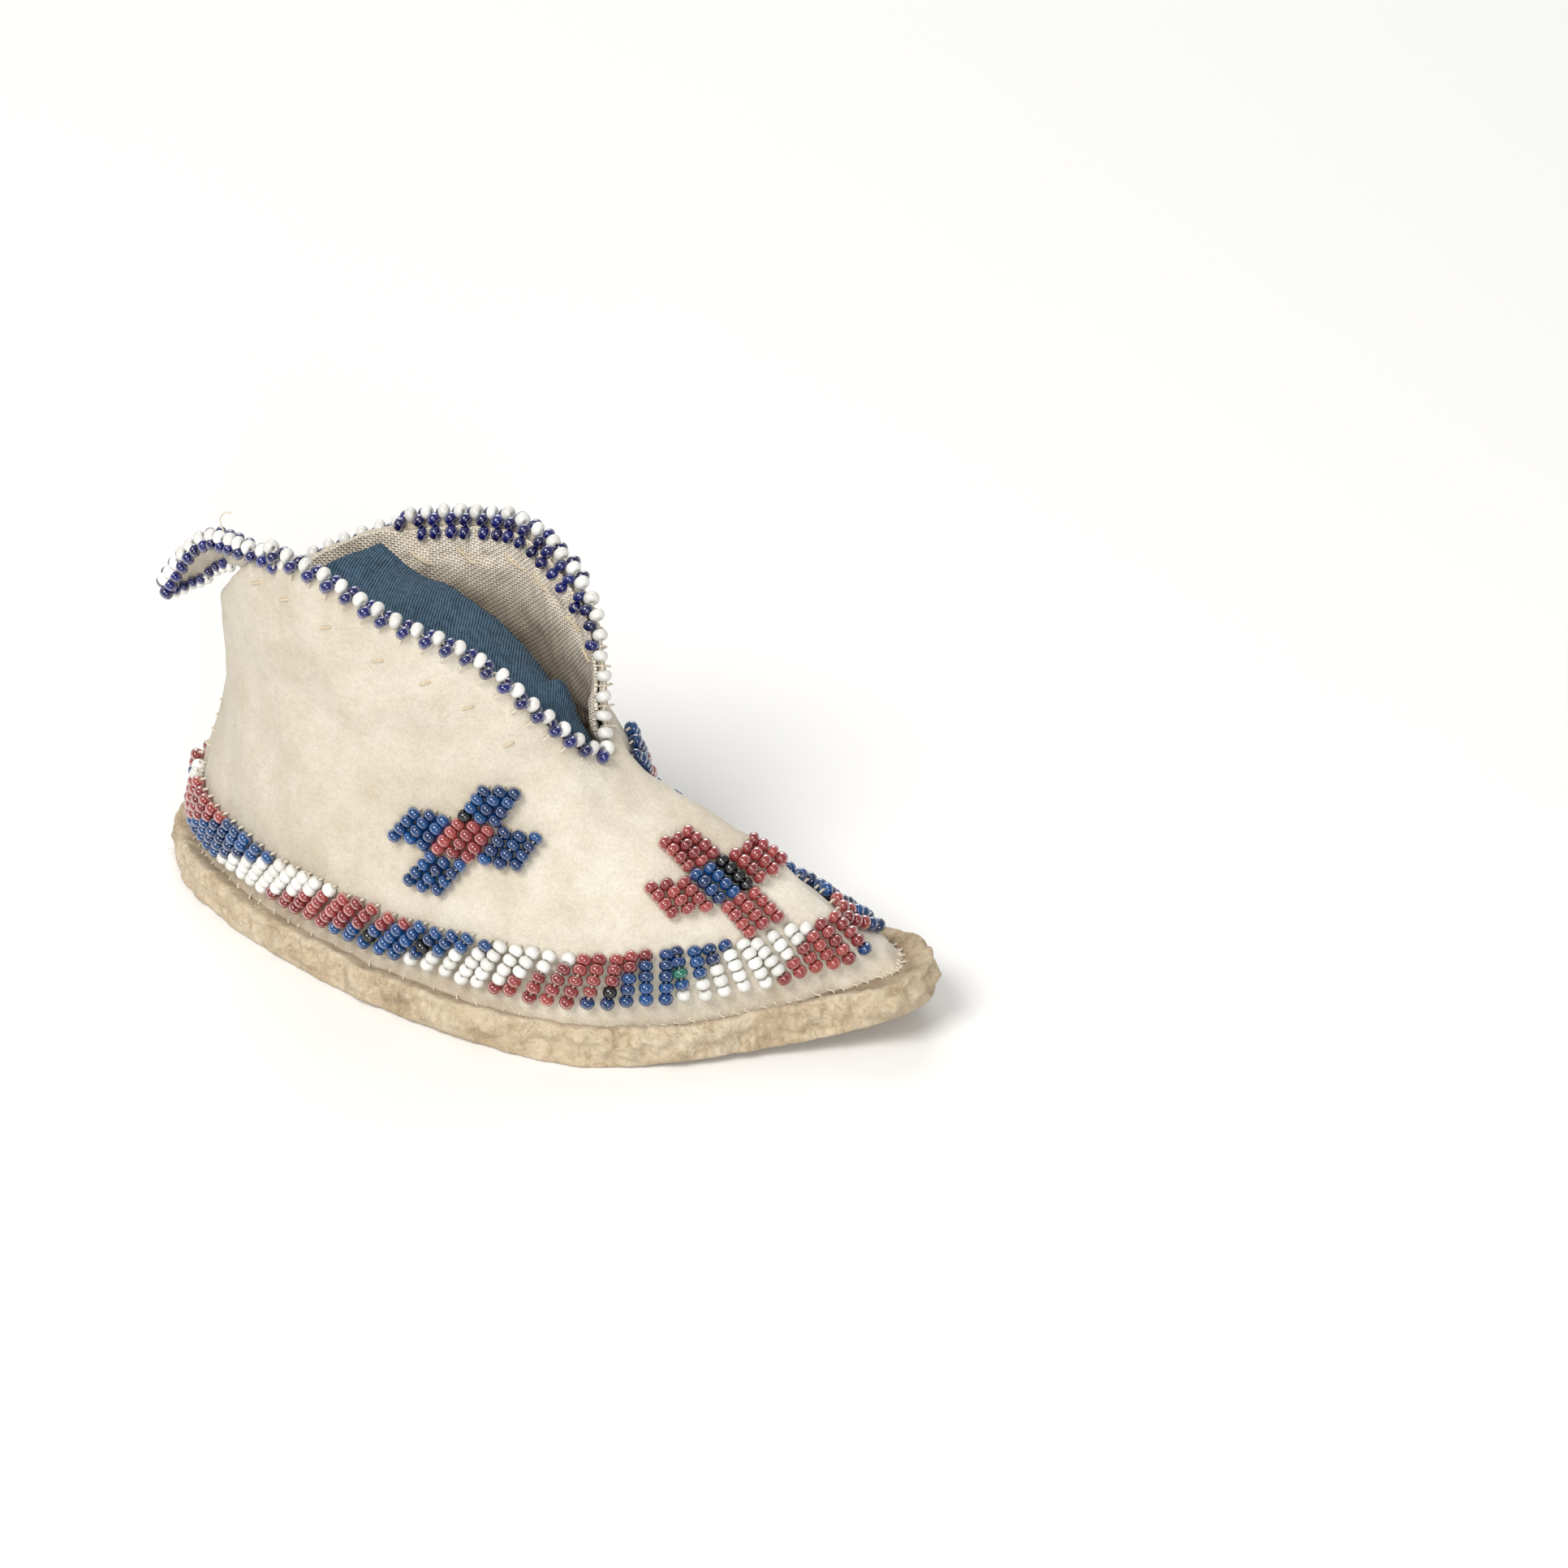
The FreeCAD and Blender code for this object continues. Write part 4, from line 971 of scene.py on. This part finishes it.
edge_threads = []
for side, start, stop in ((OUTER, 2.0, 120.0), (INNER, 6.0, 172.0)):
    span = np.radians(side * np.linspace(start, stop, 900))
    points = rim_frame(span)[0]
    length = np.concatenate([[0], np.cumsum(np.linalg.norm(np.diff(points, axis=0), axis=1))])
    count = int(length[-1] / EDGE_STEPS[side])
    goals = np.arange(count * 2 + 1) * EDGE_STEPS[side] / 2
    goals[1:-1] += rng.normal(0, 0.12, len(goals) - 2)
    whites = []
    for i, t in enumerate(np.interp(goals, length, span)):
        middle, ahead, out, over = rim_frame(t)
        behind = side == INNER and math.degrees(t) > TUCKED
        if i % 2 == 0:
            lean_out = out * (1.0 if behind else 0.15 * math.sin(i * 2.1))
            rise = -0.2 if behind else BEAD_R + 0.05
            whites.append((middle + over * rise + lean_out, ahead, out, over, middle))
            place("edge_beads_white", "white", whites[-1][0], unit(ahead + out * 0.25 * math.sin(i)), 1.06)
        else:
            reach = HIDE / 2 + BEAD_R * 0.45
            slant = unit(ahead + over * 0.5 * side + out * 0.2)
            front = side == INNER and 8 < math.degrees(t) < 48
            if not front:
                low = over * (-1.1 if behind else 0.35)
                place("edge_beads_blue", "navy", middle + out * reach + low, slant)
            if not behind and not (front and math.degrees(t) < 24):
                place("edge_beads_blue", "navy", middle - out * reach + over * 0.3, slant)
            if side == INNER and 40 < math.degrees(t) < TUCKED - 4:
                second = middle - out * (reach + 0.7) - over * 1.6 + ahead * rng.normal(0, 0.2)
                place("edge_beads_blue", "navy", second, slant)
    for (a, ahead, out, over, rim_a), (b, _, _, _, rim_b) in zip(whites, whites[1:]):
        dip = (a + b) / 2 - over * 0.75
        edge_threads.append(smooth_path([a - ahead * 0.1, (a * 2 + dip) / 3 + over * 0.1, dip,
                                         (b * 2 + dip) / 3 + over * 0.1, b], 14))
        low_out = (rim_a + rim_b) / 2 + out * (HIDE / 2 + 0.15) - over * 1.9
        low_in = (rim_a + rim_b) / 2 - out * (HIDE / 2 + 0.15) - over * 1.9
        edge_threads.append(smooth_path([low_out, low_out + out * 0.35 + over, dip + over * 0.1,
                                         low_in - out * 0.35 + over, low_in], 16))

# Edging of the tab: which edge, first bead, distance to the next, number and size of beads.
for side_of_tab, first, gap, count, size in ((0.0, 0.0, 0.074, 14, 1.04), (1.0, 0.36, 0.083, 8, 0.8)):
    last = None
    for i in range(count):
        along = first + gap * i
        p, skin = tab_point(along, side_of_tab)
        near = max(along - 0.02, 0), min(along + 0.02, 1)
        before, after = (tab_point(share, side_of_tab)[0] for share in near)
        q = unit(after - before)
        away = unit(p - tab_point(along, 0.5)[0])
        here = p + away * (BEAD_R * 0.85) + skin * 0.12 * math.sin(i * 2.3)
        place("edge_beads_white", "white", here, q + skin * 0.3 * math.sin(i * 1.7), size)
        under = p + q * 1.15 - away * 0.25
        place("edge_beads_blue", "navy", under + skin * 1.1 * size, unit(q + away * 0.4), size * 0.92)
        place("edge_beads_blue", "navy", under - skin * 1.1 * size, unit(q + away * 0.4), size * 0.92)
        if last is not None:
            edge_threads.append(smooth_path([last, (last + here) / 2 - away * 0.35, here], 9))
        last = here

# CAD has the odd black and green beads, and the dark blue of the edging, as plain blue.
CAD_COLOURS = {"navy": "blue", "black": "blue", "green": "blue"}
for (name, colour), entries in beads.items():
    piece = beads_object("%s_%s" % (name, colour), entries, colour)
    real = CAD_COLOURS.get(colour, colour)
    cad = name if name.startswith("edge_beads") else "%s_%s" % (name, real)
    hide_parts(cad)

tubes_object("lane_threads", strings, 0.2, THREAD)
tubes_object("edge_threads", edge_threads, 0.17, THREAD, "edge_thread")

# ---------- seams and stitches
WHIPS, HEEL_WHIPS, TONGUE_WHIPS = 96, 11, 4
sole_stitches = []
for i in range(WHIPS):
    t = -math.pi + 2 * math.pi * (i + 0.5 + rng.uniform(-0.25, 0.25)) / WHIPS
    z = float(sole_top(foot(t, FOOT_SIDE)[0]))
    around, _, out = foot_axes(t, z + 0.5)
    high, reach = rng.uniform(0.4, 0.8), rng.uniform(0.1, 0.4)
    wall = hide(t, z + high) + out * 0.2
    corner = hide(t, z + 0.25) + out * 0.4
    shelf = foot(t, z) + out * (0.6 + reach) + around * rng.uniform(0.3, 0.7)
    corner[2], shelf[2] = sole_top(corner[0]) + 0.4, sole_top(shelf[0]) + 0.3
    sole_stitches.append(smooth_path([wall - out * 0.6, wall, corner, shelf, shelf - [0, 0, 0.7]], 12))
tubes_object("sole_seam_threads", sole_stitches, 0.16, THREAD, "sole_seam_stitches")

# A heel stitch's way over the seam: angle from it, rise and distance off the hide.
HEEL_WAY = [
    (-0.075, -0.6, -0.5), (-0.055, -0.45, 0.12), (0.0, 0.0, 0.2), (0.055, 0.45, 0.12), (0.075, 0.6, -0.5),
]
heel_stitches = []
for i in range(HEEL_WHIPS):
    z = 17.5 + 2.5 * i
    path = [hide(math.pi + turn, z + rise) + foot_axes(math.pi + turn, z)[2] * off
            for turn, rise, off in HEEL_WAY]
    heel_stitches.append(smooth_path(path, 14))
tubes_object("heel_seam_threads", heel_stitches, 0.2, THREAD, "heel_seam_stitches")


def running_stitches(name, side, start, stop, cad):
    """Stitches of a lining: long ones on its face, short ones on the outside of the hide."""
    paths = []
    for degrees in np.arange(start, stop, STITCH_TURN):
        degrees += rng.uniform(-2, 2)
        for on_canvas, reach, lift in ((True, 1.5, 0.18), (False, 0.8, 0.08)):
            path = []
            for share in (-1.0, -0.8, 0, 0.8, 1.0):
                t = math.radians(side * (degrees + (0 if on_canvas else 6))) + share * reach / ANKLE_ROUND
                z = float(rim_height(math.radians(side * degrees))) - STITCH_BELOW + share * reach * 0.5
                out = foot_axes(t, z)[2]
                sink = 0.45 if abs(share) == 1 else 0.0
                if on_canvas:
                    path.append(lining_point(t, z, LINING) - out * (lift - sink))
                else:
                    path.append(hide(t, z) + out * (lift - sink))
            paths.append(smooth_path(path, 12))
    tubes_object(name, paths, 0.21, TAN_THREAD, cad)


running_stitches("outer_lining_threads", OUTER, 34, 120, "outer_lining_stitches")
running_stitches("inner_lining_threads", INNER, 34, 140, "inner_lining_stitches")

tongue_threads = []
for i in range(TONGUE_WHIPS):
    y = 2.6 + 1.1 * i
    path = [(10.4, y, 33.6), (9.6, y, 34.5), (8.9, y + 0.3, 35.1), (8.6, y + 0.4, 34.4)]
    tongue_threads.append(smooth_path(path, 10))
tubes_object("tongue_seam_threads", tongue_threads, 0.2, THREAD, "tongue_seam_stitches")

# ---------- loose fibres
fibres = []


def fibre(root, heading, length):
    """One loose hair that curls to a random side."""
    side = unit(rng.normal(size=3))
    root, heading = np.asarray(root, float), unit(np.asarray(heading, float))
    path = [root - heading * 0.2]
    for ahead, curl in ((0.4, 0.12), (0.75, 0.35), (1.0, 0.6)):
        path.append(root + heading * length * ahead + side * length * curl)
    fibres.append(smooth_path(path, 9))


for t in np.radians(rng.uniform(-180, 180, 60)):
    x, y = plan_point(t, 0.3)
    z = float(sole_top(x)) - rng.uniform(0.2, 4)
    fibre((x, y, z), (math.cos(t), math.sin(t), rng.uniform(-0.3, 0.6)), rng.uniform(0.4, 1.1))
for degrees in rng.uniform(15, 60, 26):
    t = math.radians(degrees)
    fibre(lining_point(t, rim_height(t) - 0.9, 0.4), (rng.normal(), -1, 1.2), rng.uniform(0.7, 1.8))
HAIR, STRAY = 0.04, 0.12           # radius of the hairs, and of the stray thread on the tab
STRAY_WAY = np.array([(0, 0, 1.4), (-0.6, 0, 3.2), (0.2, 0, 4.6), (1.6, -0.2, 5.0)])
hairs = len(fibres)
fibres.append(smooth_path(tab_point(0.42, 0.0)[0] + STRAY_WAY, 14))
tubes_object("loose_fibres", fibres, [HAIR] * hairs + [STRAY], THREAD, sides=4)

# ---------- floor, light, camera
FLOOR_HALF = 3.0
floor_mesh = bpy.data.meshes.new("floor")
corners = [(x * FLOOR_HALF, y * FLOOR_HALF, 0) for x, y in ((-1, -1), (1, -1), (1, 1), (-1, 1))]
floor_mesh.from_pydata(corners, [], [(0, 1, 2, 3)])
floor = bpy.data.objects.new("floor", floor_mesh)
bpy.context.scene.collection.objects.link(floor)
paper = Nodes("pale_paper")
floor_mesh.materials.append(paper.finish((0.86, 0.86, 0.85), 0.9, Specular_IOR_Level=0.1))

world = bpy.data.worlds.new("soft_room")
bpy.context.scene.world = world
world.use_nodes = True
background = world.node_tree.nodes["Background"]
background.inputs["Color"].default_value = (1.0, 0.99, 0.975, 1)
background.inputs["Strength"].default_value = 0.46

AIM = Vector((0, 0, 0.025))


def soft_light(name, place, width, power, colour=(1, 1, 1)):
    data = bpy.data.lights.new(name, "AREA")
    data.size = width
    data.energy = power
    data.color = colour
    light = bpy.data.objects.new(name, data)
    light.location = place
    light.rotation_euler = (AIM - Vector(place)).to_track_quat("-Z", "Y").to_euler()
    bpy.context.scene.collection.objects.link(light)


soft_light("key", (-0.15, -0.75, 0.95), 0.62, 11.0, (1, 0.985, 0.96))
soft_light("fill", (0.7, -0.85, 0.45), 0.45, 5.0)
soft_light("back", (-0.45, 0.75, 0.8), 0.7, 4.0)

# The camera was fitted to the sole's outline and the flaps in the photograph.
CAMERA_PLACE = Vector((0.40283, -0.62029, 0.45478))
AZIMUTH, ELEVATION = math.radians(30), math.radians(30)
LENS = 133.6
away = Vector((math.sin(AZIMUTH), -math.cos(AZIMUTH), math.tan(ELEVATION)))
camera_data = bpy.data.cameras.new("camera")
camera_data.sensor_width = 36.0
camera_data.lens = LENS
camera = bpy.data.objects.new("camera", camera_data)
camera.location = CAMERA_PLACE
camera.rotation_euler = (-away).to_track_quat("-Z", "Y").to_euler()
bpy.context.scene.collection.objects.link(camera)
bpy.context.scene.camera = camera
bpy.context.scene.view_settings.view_transform = "Standard"
